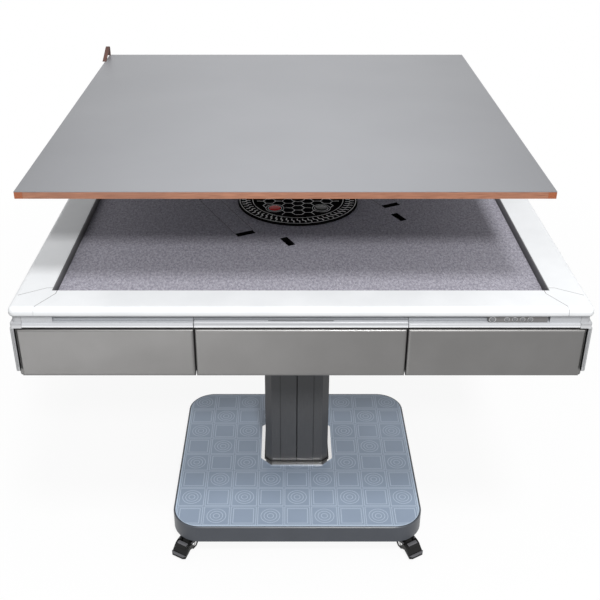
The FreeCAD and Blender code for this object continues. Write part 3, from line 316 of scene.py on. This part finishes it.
def post_look():
    """Satin posts with flutes painted dark as their shade below the mouldings, a painted highlight at the
    foot of the mouldings with painted shade above it, and a flank painted near black beside the drawers as
    the shade of the gap.
    """
    flute_start, flute_pitch = 1.0, 1.7 * MM
    flute_shade_edge = (0.3 * MM, 0.8 * MM)
    moulding_shade_height = (4 * MM, 7 * MM)
    turned_in, flank_shade_tone = -0.05, 0.01
    look = Look("post_satin", roughness=0.35, specular=0.3)
    x, y, z = look.axes()
    across = look.math("SUBTRACT", look.size(x), look.size(y))
    wave = look.math("PINGPONG", look.math("ADD", across, flute_start), flute_pitch)
    fine = look.noise(scale=700, detail=2)
    light = look.mix(fine, (0.43, 0.434, 0.444), (0.48, 0.484, 0.494))
    # Painted shade in the flutes.
    shaded_flutes = look.mix(look.between(wave, *flute_shade_edge), (0.24, 0.243, 0.252), light)
    climb = look.between(z, *(SKIRT_FOOT + height for height in moulding_shade_height))
    # Painted highlight at the foot of the mouldings, painted shade above it.
    shaded_moulding = look.mix(climb, (0.58, 0.585, 0.60), (0.44, 0.445, 0.46))
    tone = look.mix(look.above(z, SKIRT_FOOT), shaded_flutes, shaded_moulding)
    normal = look.add("ShaderNodeTexCoord").outputs["Normal"]
    facing = look.add("ShaderNodeVectorMath", {0: normal, 1: look.place}, operation="DOT_PRODUCT")
    # Faces turned in beside the drawers: painted near black as the shade of the gap.
    look.paint(look.mix(look.below(facing.outputs["Value"], turned_in), tone, flank_shade_tone))
    return look.rough(fine, 0.3, 0.4)


def liner_look():
    """Grey lining of the recess, with painted shade making it darker down by the felt."""
    shade_height, clear_depth = 1 * MM, 2 * MM
    foot_shade_tone = 0.02
    look = Look("liner_grey", roughness=0.45, specular=0.3)
    fine = look.noise(scale=500, detail=2)
    # Painted shade, near black down by the felt.
    rise = look.between(look.axes()["Z"], FELT + shade_height, RAIL_TOP - clear_depth)
    look.paint(look.mix(rise, foot_shade_tone, look.mix(fine, 0.15, 0.19)))
    return look.rough(fine, 0.35, 0.5)


def base_top_look():
    """Rows of framed squares, with rings and smaller squares by turns, printed on a blue-grey panel, with a
    painted highlight round its rounded edge.
    """
    cell = 60.5 * MM
    first_row = 2.1 * MM
    middle_cell = 4.5
    line_half, square_half = 0.012, 0.013
    border_size, square_size = 0.465, 0.375
    ring_sizes = (0.35, 0.235, 0.115)
    edge_highlight_width = 3.2 * MM
    corner = 55 * MM
    line_tone, line_share = (0.55, 0.64, 0.75), 0.85
    edge_highlight_tone, edge_highlight_share = (0.56, 0.67, 0.80), 0.75
    look = Look("base_panel", roughness=0.3, coat=0.2, specular=0.3)
    x, y = look.axes()[:2]
    low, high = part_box("base_top_panel")

    across = look.math("DIVIDE", look.math("ADD", x, middle_cell * cell), cell)
    along = look.math("DIVIDE", look.math("SUBTRACT", y, low.y + first_row), cell)
    u = look.math("SUBTRACT", look.math("FRACT", across), 0.5)
    v = look.math("SUBTRACT", look.math("FRACT", along), 0.5)
    count = look.math("ADD", look.math("FLOOR", across), look.math("FLOOR", along))
    odd = look.math("PINGPONG", count, 1.0)
    square = look.math("MAXIMUM", look.size(u), look.size(v))
    ring = look.length(u, v)
    border = look.below(look.off(square, border_size), line_half)
    squares = look.below(look.off(square, square_size), square_half)
    rings = look.any_of(*(look.below(look.off(ring, size), line_half) for size in ring_sizes))
    even = look.math("SUBTRACT", 1.0, odd)
    lines = look.any_of(border, look.all_of(rings, odd), look.all_of(squares, even))

    # Painted highlight along the rounded edge of the panel.
    beside = look.math("SUBTRACT", look.size(x), (high.x - low.x) / 2 - corner)
    beyond = look.math("SUBTRACT", look.off(y, (low.y + high.y) / 2), (high.y - low.y) / 2 - corner)
    out = look.length(look.math("MAXIMUM", beside, 0.0), look.math("MAXIMUM", beyond, 0.0))
    rim = look.above(out, corner - edge_highlight_width)

    drift = look.noise(scale=9, detail=3)
    ground = look.mix(look.spread(drift, 0.2), (0.302, 0.369, 0.474), (0.328, 0.400, 0.513))
    printed = look.mix(look.math("MULTIPLY", lines, line_share), ground, line_tone)
    look.paint(look.mix(look.math("MULTIPLY", rim, edge_highlight_share), printed, edge_highlight_tone))
    return look.rough(look.noise(scale=1200, detail=2), 0.25, 0.34)


def disc_look():
    look = Look("disc", roughness=0.5, specular=0.0)
    fine = look.noise(scale=300, detail=3)
    look.paint(look.mix(fine, 0.003, 0.008))
    return look.rough(fine, 0.4, 0.55)


def column_look():
    """Satin grey coat with a fine joint line on each side of every broad face."""
    joint_place, joint_half = 39 * MM, 0.8 * MM
    joint_tone, joint_share = 0.015, 0.7
    look = Look("column_coat", roughness=0.4)
    streak = look.noise(scale=60, detail=4, place=look.stretched(30, 30, 0.6))
    fine = look.noise(scale=1500, detail=2)
    sizes = [look.size(axis) for axis in look.axes()[:2]]
    joints = look.any_of(*(look.below(look.off(size, joint_place), joint_half) for size in sizes))
    coat = look.mix(look.spread(streak, 0.2), (0.065, 0.065, 0.068), (0.079, 0.079, 0.082))
    look.paint(look.mix(look.math("MULTIPLY", joints, joint_share), coat, joint_tone))
    return look.rough(fine, 0.34, 0.46).bump(fine, depth=0.02 * MM, strength=0.4)


def drawer_look():
    """Satin metallic lacquer on the front, dark grained plastic in the tray."""
    front_depth = 16.3 * MM
    front_metallic, tray_tone = 0.85, 0.02
    look = Look("drawer_lacquer", coat=0.2)
    front = look.above(look.reach(), DRAWER_FACE - front_depth)
    drift = look.noise(scale=14, detail=4)
    flake = look.noise(scale=2600, detail=2)
    lacquer = look.mix(look.spread(drift, 0.15), (0.178, 0.175, 0.172), (0.192, 0.189, 0.186))
    look.paint(look.mix(front, tray_tone, lacquer))
    look.feed(look.shader.inputs["Metallic"], look.math("MULTIPLY", front, front_metallic))
    return look.rough(flake, 0.4, 0.48).bump(flake, depth=0.01 * MM, strength=0.4, round_off=4 * MM)


def pedal_look(number):
    """Black nylon, with a grey painted highlight in patches on the raised tread bar and on the lip at the
    tip.
    """
    lip_reach, lip_height = 58.3 * MM, 16.5 * MM
    bar_reach, bar_height = 46.5 * MM, 33 * MM
    highlight_tone = (0.14, 0.14, 0.15)
    look = Look(f"pedal_nylon_{number}", specular=0.2)
    place = caster_place(number)
    values = {"Vector": look.place, "Location": place.translation, "Rotation": place.to_euler()}
    axes = look.axes(look.add("ShaderNodeMapping", values, vector_type="TEXTURE").outputs[0])
    # Painted highlight on the raised tread bar and the lip, broken into patches.
    lip = look.all_of(look.above(axes["X"], lip_reach), look.above(axes["Z"], lip_height))
    bar = look.all_of(look.below(axes["X"], bar_reach), look.above(axes["Z"], bar_height))
    fine = look.noise(scale=900, detail=2)
    highlight_patches = look.level(look.noise(scale=160, detail=3), 0.6, 1.0)
    highlight_mask = look.all_of(look.any_of(lip, bar), highlight_patches)
    look.paint(look.mix(highlight_mask, look.mix(fine, 0.008, 0.014), highlight_tone))
    return look.rough(fine, 0.2, 0.3).bump(fine, depth=0.02 * MM, strength=0.5, round_off=1.5 * MM)


white = plain("frame_white", (0.77, 0.785, 0.80), (0.81, 0.825, 0.84), roughness=(0.25, 0.35), specular=0.12)
dark = plain("dark_plastic", 0.012, 0.02, roughness=(0.4, 0.55))
silver = plain("bezel_silver", (0.60, 0.605, 0.615), (0.66, 0.665, 0.675), roughness=(0.25, 0.35))
chassis = plain("chassis_coat", 0.025, 0.04, roughness=(0.5, 0.65))
red = plain("button_red", (0.74, 0.014, 0.016), (0.84, 0.022, 0.022), roughness=(0.2, 0.3), specular=0.05)
smoke = plain("button_smoke", 0.010, 0.018, roughness=(0.15, 0.25), specular=0.1)
keys = plain("key_plastic", (0.15, 0.152, 0.158), (0.19, 0.192, 0.20), roughness=(0.3, 0.45))
panel = plain("panel_plastic", (0.165, 0.162, 0.163), (0.192, 0.189, 0.190), specular=0.25)
steel = metal("steel", 0.45, 0.6, roughness=(0.25, 0.4), stretch=(30, 30, 1))
bright = metal("bright_collar", 0.70, 0.78, roughness=(0.10, 0.16))
inlay = plain("disc_inlay", 0.70, 0.82, roughness=(0.25, 0.4))
seam = plain("seam_grey", 0.30, 0.36, roughness=(0.5, 0.6))
base_coat = plain("base_coat", (0.056, 0.063, 0.077), (0.066, 0.074, 0.090))
caster = plain("caster_nylon", 0.004, 0.008, roughness=(0.25, 0.36), specular=0.12)
rubber = plain("wheel_rubber", 0.006, 0.011, roughness=(0.5, 0.7), specular=0.15)
leather_grain = {"grain": 500, "depth": 0.1 * MM, "roughness": (0.4, 0.55)}
leather = plain("strap_leather", (0.055, 0.021, 0.014), (0.11, 0.042, 0.028), **leather_grain)


def dress(look, *names):
    for name in names:
        piece = nodes[name]
        piece.data.materials.clear()
        piece.data.materials.append(look.material)


dress(white, "frame_rails", "frame_corners")
dress(liner_look(), "recess_liner")
dress(skirt_look(), "skirt_bands")
dress(post_look(), "corner_posts")
dress(drawer_look(), *(f"drawer_{side}_{place}" for side in SIDES for place in "abc"))
dress(chassis, "chassis_pan", "drawer_runners", "head_cradle", "fold_bracket")
dress(felt_look(), "play_board", "tile_lift")
dress(disc_look(), "centre_disc", "disc_button_2", "disc_button_4")
dress(red, "disc_button_1", "disc_button_3")
dress(keys, "power_button", *(f"key_{number}" for number in NUMBERS))
dress(panel, "control_panel")
dress(steel, "fold_pin", "column_bolts", "lift_housing")
dress(dark, "column_post")
dress(plain("motor_cast", 0.06, 0.09), "shuffle_motor")
dress(plain("shuffle_plastic", 0.10, 0.14), "shuffle_disc")
dress(column_look(), "column_left_shell", "column_right_shell")
dress(bright, "column_collar")
dress(base_coat, "base_shell")
dress(base_top_look(), "base_top_panel")
dress(caster, *(f"caster_fork_{number}" for number in NUMBERS))
dress(rubber, *(f"caster_wheel_{number}" for number in NUMBERS))
for number in NUMBERS:
    dress(pedal_look(number), f"caster_pedal_{number}")
dress(cover_look(), "cover_board")
dress(wood_look(), "cover_edging")


# Ways to make a mesh.
def put(name, points, faces, look, smooth=False):
    mesh = bpy.data.meshes.new(name)
    mesh.from_pydata([tuple(point) for point in points], [], faces)
    mesh.validate()
    builder = bmesh.new()
    builder.from_mesh(mesh)
    bmesh.ops.recalc_face_normals(builder, faces=builder.faces)
    builder.to_mesh(mesh)
    builder.free()
    piece = bpy.data.objects.new(name, mesh)
    bpy.context.scene.collection.objects.link(piece)
    mesh.materials.append(look.material)
    if smooth:
        mesh.shade_smooth()
    else:
        mesh.shade_flat()
    return piece


def skin(name, rings, look):
    """A closed smooth skin through rings of points, with flat ends."""
    count = len(rings[0])
    points = [point for ring in rings for point in ring]
    faces = [tuple(reversed(range(count)))]
    for row in range(len(rings) - 1):
        here, beyond = row * count, (row + 1) * count
        for step in range(count):
            after = (step + 1) % count
            faces.append((here + step, here + after, beyond + after, beyond + step))
    faces.append(tuple(range(len(points) - count, len(points))))
    return put(name, points, faces, look, smooth=True)


def lathe(name, profile, place, axis, look, steps=28):
    """A closed turned piece: profile is (radius, height) pairs from the foot to the tip."""
    turn = Vector((0, 0, 1)).rotation_difference(Vector(axis)).to_matrix()
    angles = [2 * math.pi * step / steps for step in range(steps)]
    rings = []
    for radius, height in profile:
        ring = [Vector((radius * math.cos(angle), radius * math.sin(angle), height)) for angle in angles]
        rings.append([Vector(place) + turn @ point for point in ring])
    return skin(name, rings, look)


def hoop(name, inner, outer, height, place, look, steps=32):
    """A flat ring with a rounded crest, standing out of the front face."""
    shoulder = height * 0.6
    section = [(inner, 0), (outer, 0), (outer, shoulder), ((inner + outer) / 2, height), (inner, shoulder)]
    points = []
    faces = []
    count = len(section)
    for step in range(steps):
        angle = 2 * math.pi * step / steps
        for radius, rise in section:
            points.append(place + Vector((radius * math.cos(angle), -rise, radius * math.sin(angle))))
        here, beyond = step * count, (step + 1) % steps * count
        for k in range(count):
            after = (k + 1) % count
            faces.append((here + k, here + after, beyond + after, beyond + k))
    return put(name, points, faces, look, smooth=True)


def ribbon(name, runs, width, low, height, look):
    """Flat raised strips along runs of (x, y) points, mitred at the bends. A run may end at its start."""
    sharpest_mitre = 0.5
    high = low + height
    points = []
    faces = []
    for run in runs:
        closed = run[0] == run[-1]
        path = [Vector(point) for point in (run[:-1] if closed else run)]
        count = len(path)
        first = len(points)
        for index, here in enumerate(path):
            before = path[index - 1] if closed or index else here
            after = path[(index + 1) % count] if closed or index < count - 1 else here
            come = (here - before).normalized() if before != here else (after - here).normalized()
            leave = (after - here).normalized() if after != here else come
            side = Vector((-(come + leave).y, (come + leave).x)).normalized()
            reach = width / 2 / max(side.dot(Vector((-come.y, come.x))), sharpest_mitre)
            for out, level in ((-reach, low), (reach, low), (reach, high), (-reach, high)):
                points.append((here.x + side.x * out, here.y + side.y * out, level))
        for index in range(count if closed else count - 1):
            a = first + 4 * index
            b = first + 4 * ((index + 1) % count)
            faces += [(a + k, a + (k + 1) % 4, b + (k + 1) % 4, b + k) for k in range(4)]
        if not closed:
            last = first + 4 * (count - 1)
            faces += [tuple(range(first + 3, first - 1, -1)), tuple(range(last, last + 4))]
    return put(name, points, faces, look)


def circle(x, y, radius, steps=48):
    angles = [2 * math.pi * step / steps for step in range(steps)]
    run = [(x + radius * math.cos(angle), y + radius * math.sin(angle)) for angle in angles]
    return run + run[:1]


# Leather pull of the cover.
STRAP_THICKNESS = 2.2 * MM
STRAP_BEND = 6 * MM
STRAP_HALF_SECTION = ((-1, -0.25), (-0.9, -0.46), (0.9, -0.46), (1, -0.25))
STRAP_SECTION = STRAP_HALF_SECTION + tuple((-side, -lift) for side, lift in STRAP_HALF_SECTION)


def strap_line(low, high):
    """Points (y, z) of the loop's middle line: an upright back leg, a bend and a long sloping front leg."""
    back_steps, bend_steps, front_steps = 6, 24, 12
    off = STRAP_THICKNESS / 2
    centre = Vector((high.y - STRAP_BEND, high.z - STRAP_BEND))
    reach = Vector((low.y, low.z)) - centre
    leave = math.atan2(reach.y, reach.x) + 2 * math.pi - math.acos(STRAP_BEND / reach.length)
    climb = centre.y - low.z
    points = [Vector((high.y - off, low.z + climb * step / back_steps)) for step in range(back_steps)]
    for step in range(bend_steps + 1):
        angle = leave * step / bend_steps
        points.append(centre + Vector((math.cos(angle), math.sin(angle))) * (STRAP_BEND - off))
    last = points[-1]
    slope = Vector((-math.sin(leave), math.cos(leave)))
    run = (low.z - last.y) / slope.y
    return points + [last + slope * run * step / front_steps for step in range(1, front_steps + 1)]


def make_strap():
    """The pull as one band, with both ends cut level on the cover."""
    least_climb = 0.2
    low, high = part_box("cover_strap")
    middle = (low.x + high.x) / 2
    half_width = (high.x - low.x) / 2
    line = strap_line(low, high)
    end = len(line) - 1
    rings = []
    for index, here in enumerate(line):
        run = (line[min(index + 1, end)] - line[max(index - 1, 0)]).normalized()
        out = Vector((0, run.y, -run.x))
        if index in (0, end):
            out = Vector((0, math.copysign(1 / max(abs(run.y), least_climb), run.y), 0))
        centre = Vector((middle, here.x, here.y))
        aside = Vector((half_width, 0, 0))
        rings.append([centre + aside * side + out * (lift * STRAP_THICKNESS) for side, lift in STRAP_SECTION])
    strap = skin("strap_band", rings, leather)
    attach(strap, "cover")
    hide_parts("cover_strap")


# Bright inlay of the centre disc.
INLAY_HEIGHT = 0.25 * MM
DISC_RINGS = (97 * MM, 124.3 * MM)
HUB_RING = 14 * MM
BUTTON_RINGS = (14.2 * MM, 19 * MM)
BUTTON_PLACE = 69 * MM * math.sqrt(0.5)
HOOK_COUNT = 60
HOOK_LEAN = 0.024
HOOK = ((102 * MM, -HOOK_LEAN), (110 * MM, -HOOK_LEAN), (112.5 * MM, HOOK_LEAN), (120.5 * MM, HOOK_LEAN))
COMB_SIZE = 13.5 * MM
COMB_REACH = range(-6, 7)
COMB_INNER, COMB_OUTER = 20 * MM, 88 * MM
COMB_CLEARANCE = 22 * MM


def comb_runs():
    """Edges of a honeycomb, each one once, clear of the hub, the rim and the buttons."""
    corner_turns = [math.radians(60 * k) for k in range(6)]
    runs = []
    seen = set()
    for column in COMB_REACH:
        for row in COMB_REACH:
            x = COMB_SIZE * 1.5 * column
            y = COMB_SIZE * math.sqrt(3) * (row + column / 2)
            corners = [(x + COMB_SIZE * math.cos(a), y + COMB_SIZE * math.sin(a)) for a in corner_turns]
            for start, end in zip(corners, corners[1:] + corners[:1]):
                middle = Vector(((start[0] + end[0]) / 2, (start[1] + end[1]) / 2))
                key = (round(middle.x, 5), round(middle.y, 5))
                spot = Vector((abs(middle.x) - BUTTON_PLACE, abs(middle.y) - BUTTON_PLACE))
                inside = COMB_INNER < middle.length < COMB_OUTER
                if inside and spot.length >= COMB_CLEARANCE and key not in seen:
                    seen.add(key)
                    runs.append([start, end])
    return runs


def hook_runs():
    """Bars round the rim, each with a step aside in the middle."""
    runs = []
    for step in range(HOOK_COUNT):
        turn = 2 * math.pi * step / HOOK_COUNT
        runs.append([(r * math.cos(turn + lean), r * math.sin(turn + lean)) for r, lean in HOOK])
    return runs


def make_disc_inlay():
    """A honeycomb inside, rings round the buttons, hooked bars outside."""
    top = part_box("centre_disc")[1].z
    rings = [circle(0, 0, radius, steps=96) for radius in DISC_RINGS] + [circle(0, 0, HUB_RING)]
    for x, y in CORNERS:
        rings += [circle(x * BUTTON_PLACE, y * BUTTON_PLACE, radius) for radius in BUTTON_RINGS]
    for name, runs, width in (
        ("disc_comb", comb_runs(), 1.3 * MM),
        ("disc_hooks", hook_runs(), 2.0 * MM),
        ("disc_rings", rings, 1.1 * MM),
    ):
        piece = ribbon(name, runs, width, top, INLAY_HEIGHT, inlay)
        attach(piece, "centre_disc")


# Rivets of the casters, placed in each caster's own frame. A dome has radius and height in millimetres.
RIVET_DOME = ((3.4, 0), (3.4, 0.5), (2.9, 1.1), (1.6, 1.5), (0.3, 1.6))
AXLE_RIVET_SHARE = 1.5
AXLE_DOME = tuple((AXLE_RIVET_SHARE * radius, height) for radius, height in RIVET_DOME)
PEDAL_PIVOT = Vector((27, 18.4, 29)) * MM
AXLE_END = Vector((17, 15, 20)) * MM


def rivet_on(place, name, dome, spot, side):
    """A domed rivet that points out of one side of a caster."""
    profile = [(radius * MM, height * MM) for radius, height in dome]
    foot = place @ Vector((spot.x, side * spot.y, spot.z))
    return lathe(name, profile, foot, place.to_3x3() @ Vector((0, side, 0)), bright)


def make_rivets():
    for number in NUMBERS:
        place = caster_place(number)
        for side, letter in ((-1, "a"), (1, "b")):
            rivet = rivet_on(place, f"pivot_rivet_{number}_{letter}", RIVET_DOME, PEDAL_PIVOT, side)
            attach(rivet, f"caster_pedal_{number}")
            nut = rivet_on(place, f"axle_rivet_{number}_{letter}", AXLE_DOME, AXLE_END, side)
            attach(nut, f"caster_fork_{number}")


# Caps of the buttons and keys. A button's dome is in millimetres, a key's has its radii as shares.
BUTTON_DOME = ((11.6, 0), (11.6, 0.1), (10.8, 0.22), (8.4, 0.34), (4.8, 0.42), (0.4, 0.45))
KEY_DOME = ((0.97, 0), (0.97, 0.25), (0.85, 0.55), (0.5, 0.75), (0.05, 0.8))
BEZEL_GAP = 0.35 * MM
BEZEL_HEIGHT = 0.6 * MM
POWER_BEZEL_WALL = 1.0 * MM
KEY_BEZEL_WALL = 0.7 * MM


def make_button_caps():
    """Low domed caps on the four disc buttons, red and smoky black by turns, clear of the closed cover."""
    profile = [(radius * MM, height * MM) for radius, height in BUTTON_DOME]
    for number in NUMBERS:
        low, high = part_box(f"disc_button_{number}")
        spot = ((low.x + high.x) / 2, (low.y + high.y) / 2, high.z)
        look, slot = ((smoke, "disc_black"), (red, "button_red"))[number % 2]
        cap = lathe(f"disc_button_cap_{number}", profile, spot, (0, 0, 1), look)
        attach(cap, f"disc_button_{number}")


def make_key_caps():
    """Domed caps on the keys, each inside a raised bezel of the control strip."""
    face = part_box("control_panel")[0].y
    walls = {"power_button": POWER_BEZEL_WALL}
    walls.update({f"key_{number}": KEY_BEZEL_WALL for number in NUMBERS})
    for name, wall in walls.items():
        low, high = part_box(name)
        radius = (high.x - low.x) / 2
        spot = Vector(((low.x + high.x) / 2, low.y, (low.z + high.z) / 2))
        dome = [(radius * share, height * MM) for share, height in KEY_DOME]
        cap = lathe(f"{name}_cap", dome, spot, (0, -1, 0), keys)
        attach(cap, name)
        bore = radius + BEZEL_GAP
        foot = Vector((spot.x, face, spot.z))
        bezel = hoop(f"{name}_bezel", bore, bore + wall, BEZEL_HEIGHT, foot, silver)
        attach(bezel, "head")


# Seams, and a dark strip standing in for the shadow at the foot of the column, as raised or nearly flush
# strips. The path of a cap seam is in millimetres.
LIFT_LEAN = math.radians(26.5)
LIFT_OUT = 167 * MM
LIFT_HALF_WIDTH = 20.2 * MM
LIFT_ENDS = (-100 * MM, 89 * MM)
LIFT_SEAM_WIDTH = 1.0 * MM
LIFT_SEAM_SINK, LIFT_SEAM_HEIGHT = 0.2 * MM, 0.32 * MM
# Dark strip standing in for the shadow round the foot of the column.
FOOT_SHADE_HALF = 76.2 * MM
FOOT_SHADE_CORNER = 15.5 * MM
FOOT_SHADE_WIDTH, FOOT_SHADE_HEIGHT = 3.0 * MM, 2.6 * MM
CAP_SEAM = ((-417.6, -427), (-417.6, -437), (-441.6, -478), (-443.2, -481))
CAP_SEAM_WIDTH = 1.3 * MM
CAP_SEAM_SINK, CAP_SEAM_HEIGHT = 0.3 * MM, 0.34 * MM


def quarter_turns(count):
    return Matrix.Rotation(math.radians(90 * count), 2)


def make_lift_seams():
    """Thin dark joints along both edges of the side tile lifts, on the board beside the gap."""
    forward = Vector((math.cos(LIFT_LEAN), math.sin(LIFT_LEAN)))
    outward = Vector((math.sin(LIFT_LEAN), -math.cos(LIFT_LEAN)))
    runs = []
    for turns in (1, 3):
        for out in (LIFT_OUT - LIFT_HALF_WIDTH, LIFT_OUT + LIFT_HALF_WIDTH):
            ends = [forward * along + outward * out for along in LIFT_ENDS]
            runs.append([tuple(quarter_turns(turns) @ end) for end in ends])
    joints = ribbon("lift_seams", runs, LIFT_SEAM_WIDTH, FELT - LIFT_SEAM_SINK, LIFT_SEAM_HEIGHT, dark)
    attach(joints, "head")


def make_foot_shade_strip():
    """Dark strip round the foot of the column, on the bright collar, standing in for the shadow there."""
    half = FOOT_SHADE_HALF
    cut = half - FOOT_SHADE_CORNER
    right = [(half, -cut), (half, cut), (cut, half), (-cut, half)]
    run = right + [(-x, -y) for x, y in right]
    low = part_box("column_collar")[1].z
    shade_strip = ribbon("foot_shade_strip", [run + run[:1]], FOOT_SHADE_WIDTH, low, FOOT_SHADE_HEIGHT, dark)
    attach(shade_strip, "base")


def make_cap_seams():
    """Fine joint lines between the corner caps and the rails."""
    runs = []
    for turns in range(4):
        for path in (CAP_SEAM, [(y, x) for x, y in CAP_SEAM]):
            runs.append([tuple(quarter_turns(turns) @ Vector(point) * MM) for point in path])
    seams = ribbon("cap_seams", runs, CAP_SEAM_WIDTH, RAIL_TOP - CAP_SEAM_SINK, CAP_SEAM_HEIGHT, seam)
    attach(seams, "head")


make_strap()
make_disc_inlay()
make_rivets()
make_button_caps()
make_key_caps()
make_lift_seams()
make_foot_shade_strip()
make_cap_seams()


# Stage, light and camera.
FLOOR_HALF = 12
FLOOR_FADE = (0.7, 2.2)
FLOOR_GLOW = (0.90, 1.0)
FLOOR_SEEN = 0.95
WORLD_STRENGTH = 0.50
WHITE_STRENGTH = 1.0
TABLE_TOP = (0, -0.3, 0.75)
FRONT_DRAWERS = (-0.25, -0.49, 0.68)
CAMERA_PLACE = (-0.0238, -1.75, 1.502)
CAMERA_PITCH = math.radians(27.58)
CAMERA_LENS, CAMERA_SENSOR = 53.02, 36
CAMERA_SHIFT = (0.022, -0.058)
SEEN_RAYS = ("Is Camera Ray", "Is Glossy Ray", "Is Transmission Ray")


def backdrop_look():
    """Floor that is seen as white but for a faint shadow by the table, and that throws little light back."""
    look = Look("floor_paper", roughness=0.9, specular=0.0)
    tone = look.noise(scale=3, detail=2)
    path = look.add("ShaderNodeLightPath").outputs
    look.paint(look.mix(path["Is Camera Ray"], look.mix(tone, 0.05, 0.07), FLOOR_SEEN))
    glow = look.add("ShaderNodeEmission", {"Color": (1, 1, 1, 1), "Strength": WHITE_STRENGTH})
    seen = look.any_of(*(path[ray] for ray in SEEN_RAYS))
    away = look.add("ShaderNodeVectorMath", {0: look.place}, operation="LENGTH").outputs["Value"]
    fade = look.level(look.between(away, *FLOOR_FADE), *FLOOR_GLOW)
    values = {0: look.all_of(seen, fade), 1: look.shader.outputs[0], 2: glow.outputs[0]}
    blend = look.add("ShaderNodeMixShader", values)
    look.tree.links.new(blend.outputs[0], look.tree.nodes["Material Output"].inputs["Surface"])
    return look


def make_floor():
    points = [(x * FLOOR_HALF, y * FLOOR_HALF, 0) for x, y in CORNERS]
    floor = put("floor", points, [(0, 1, 2, 3)], backdrop_look())


def make_world():
    """Plain white where the camera, a mirror or glass sees it, and a softer light for all else."""
    world = bpy.data.worlds.new("studio")
    bpy.context.scene.world = world
    world.use_nodes = True
    tree = world.node_tree
    soft = tree.nodes["Background"]
    seen = tree.nodes.new("ShaderNodeBackground")
    for background, strength in ((soft, WORLD_STRENGTH), (seen, WHITE_STRENGTH)):
        background.inputs["Color"].default_value = (1, 1, 1, 1)
        background.inputs["Strength"].default_value = strength
    path = tree.nodes.new("ShaderNodeLightPath").outputs
    share = path[SEEN_RAYS[0]]
    for ray in SEEN_RAYS[1:]:
        either = tree.nodes.new("ShaderNodeMath")
        either.use_clamp = True
        tree.links.new(share, either.inputs[0])
        tree.links.new(path[ray], either.inputs[1])
        share = either.outputs[0]
    blend = tree.nodes.new("ShaderNodeMixShader")
    for socket, source in zip(blend.inputs, (share, soft.outputs[0], seen.outputs[0])):
        tree.links.new(source, socket)
    tree.links.new(blend.outputs[0], tree.nodes["World Output"].inputs["Surface"])


def lamp(name, place, target, size, power, diffuse=True):
    light = bpy.data.lights.new(name, "AREA")
    light.shape = "RECTANGLE"
    light.size, light.size_y = size
    light.energy = power
    holder = bpy.data.objects.new(name, light)
    bpy.context.scene.collection.objects.link(holder)
    holder.location = place
    holder.rotation_euler = (Vector(target) - Vector(place)).to_track_quat("-Z", "Y").to_euler()
    holder.visible_camera = False
    holder.visible_diffuse = diffuse


def make_camera():
    lens = bpy.data.cameras.new("camera")
    lens.lens = CAMERA_LENS
    lens.sensor_width = CAMERA_SENSOR
    lens.shift_x, lens.shift_y = CAMERA_SHIFT
    camera = bpy.data.objects.new("camera", lens)
    camera.location = CAMERA_PLACE
    camera.rotation_euler = (math.pi / 2 - CAMERA_PITCH, 0, 0)
    bpy.context.scene.collection.objects.link(camera)
    bpy.context.scene.camera = camera


make_floor()
make_world()
lamp("key", place=(0.40, -3.25, 2.99), target=TABLE_TOP, size=(0.3, 0.3), power=77)
lamp("high", place=(0.35, -2.35, 3.72), target=TABLE_TOP, size=(0.5, 0.5), power=68)
lamp("low", place=(-0.62, -1.5, 0.04), target=FRONT_DRAWERS, size=(1.4, 0.45), power=5.3, diffuse=False)
make_camera()
bpy.context.scene.view_settings.view_transform = "Standard"
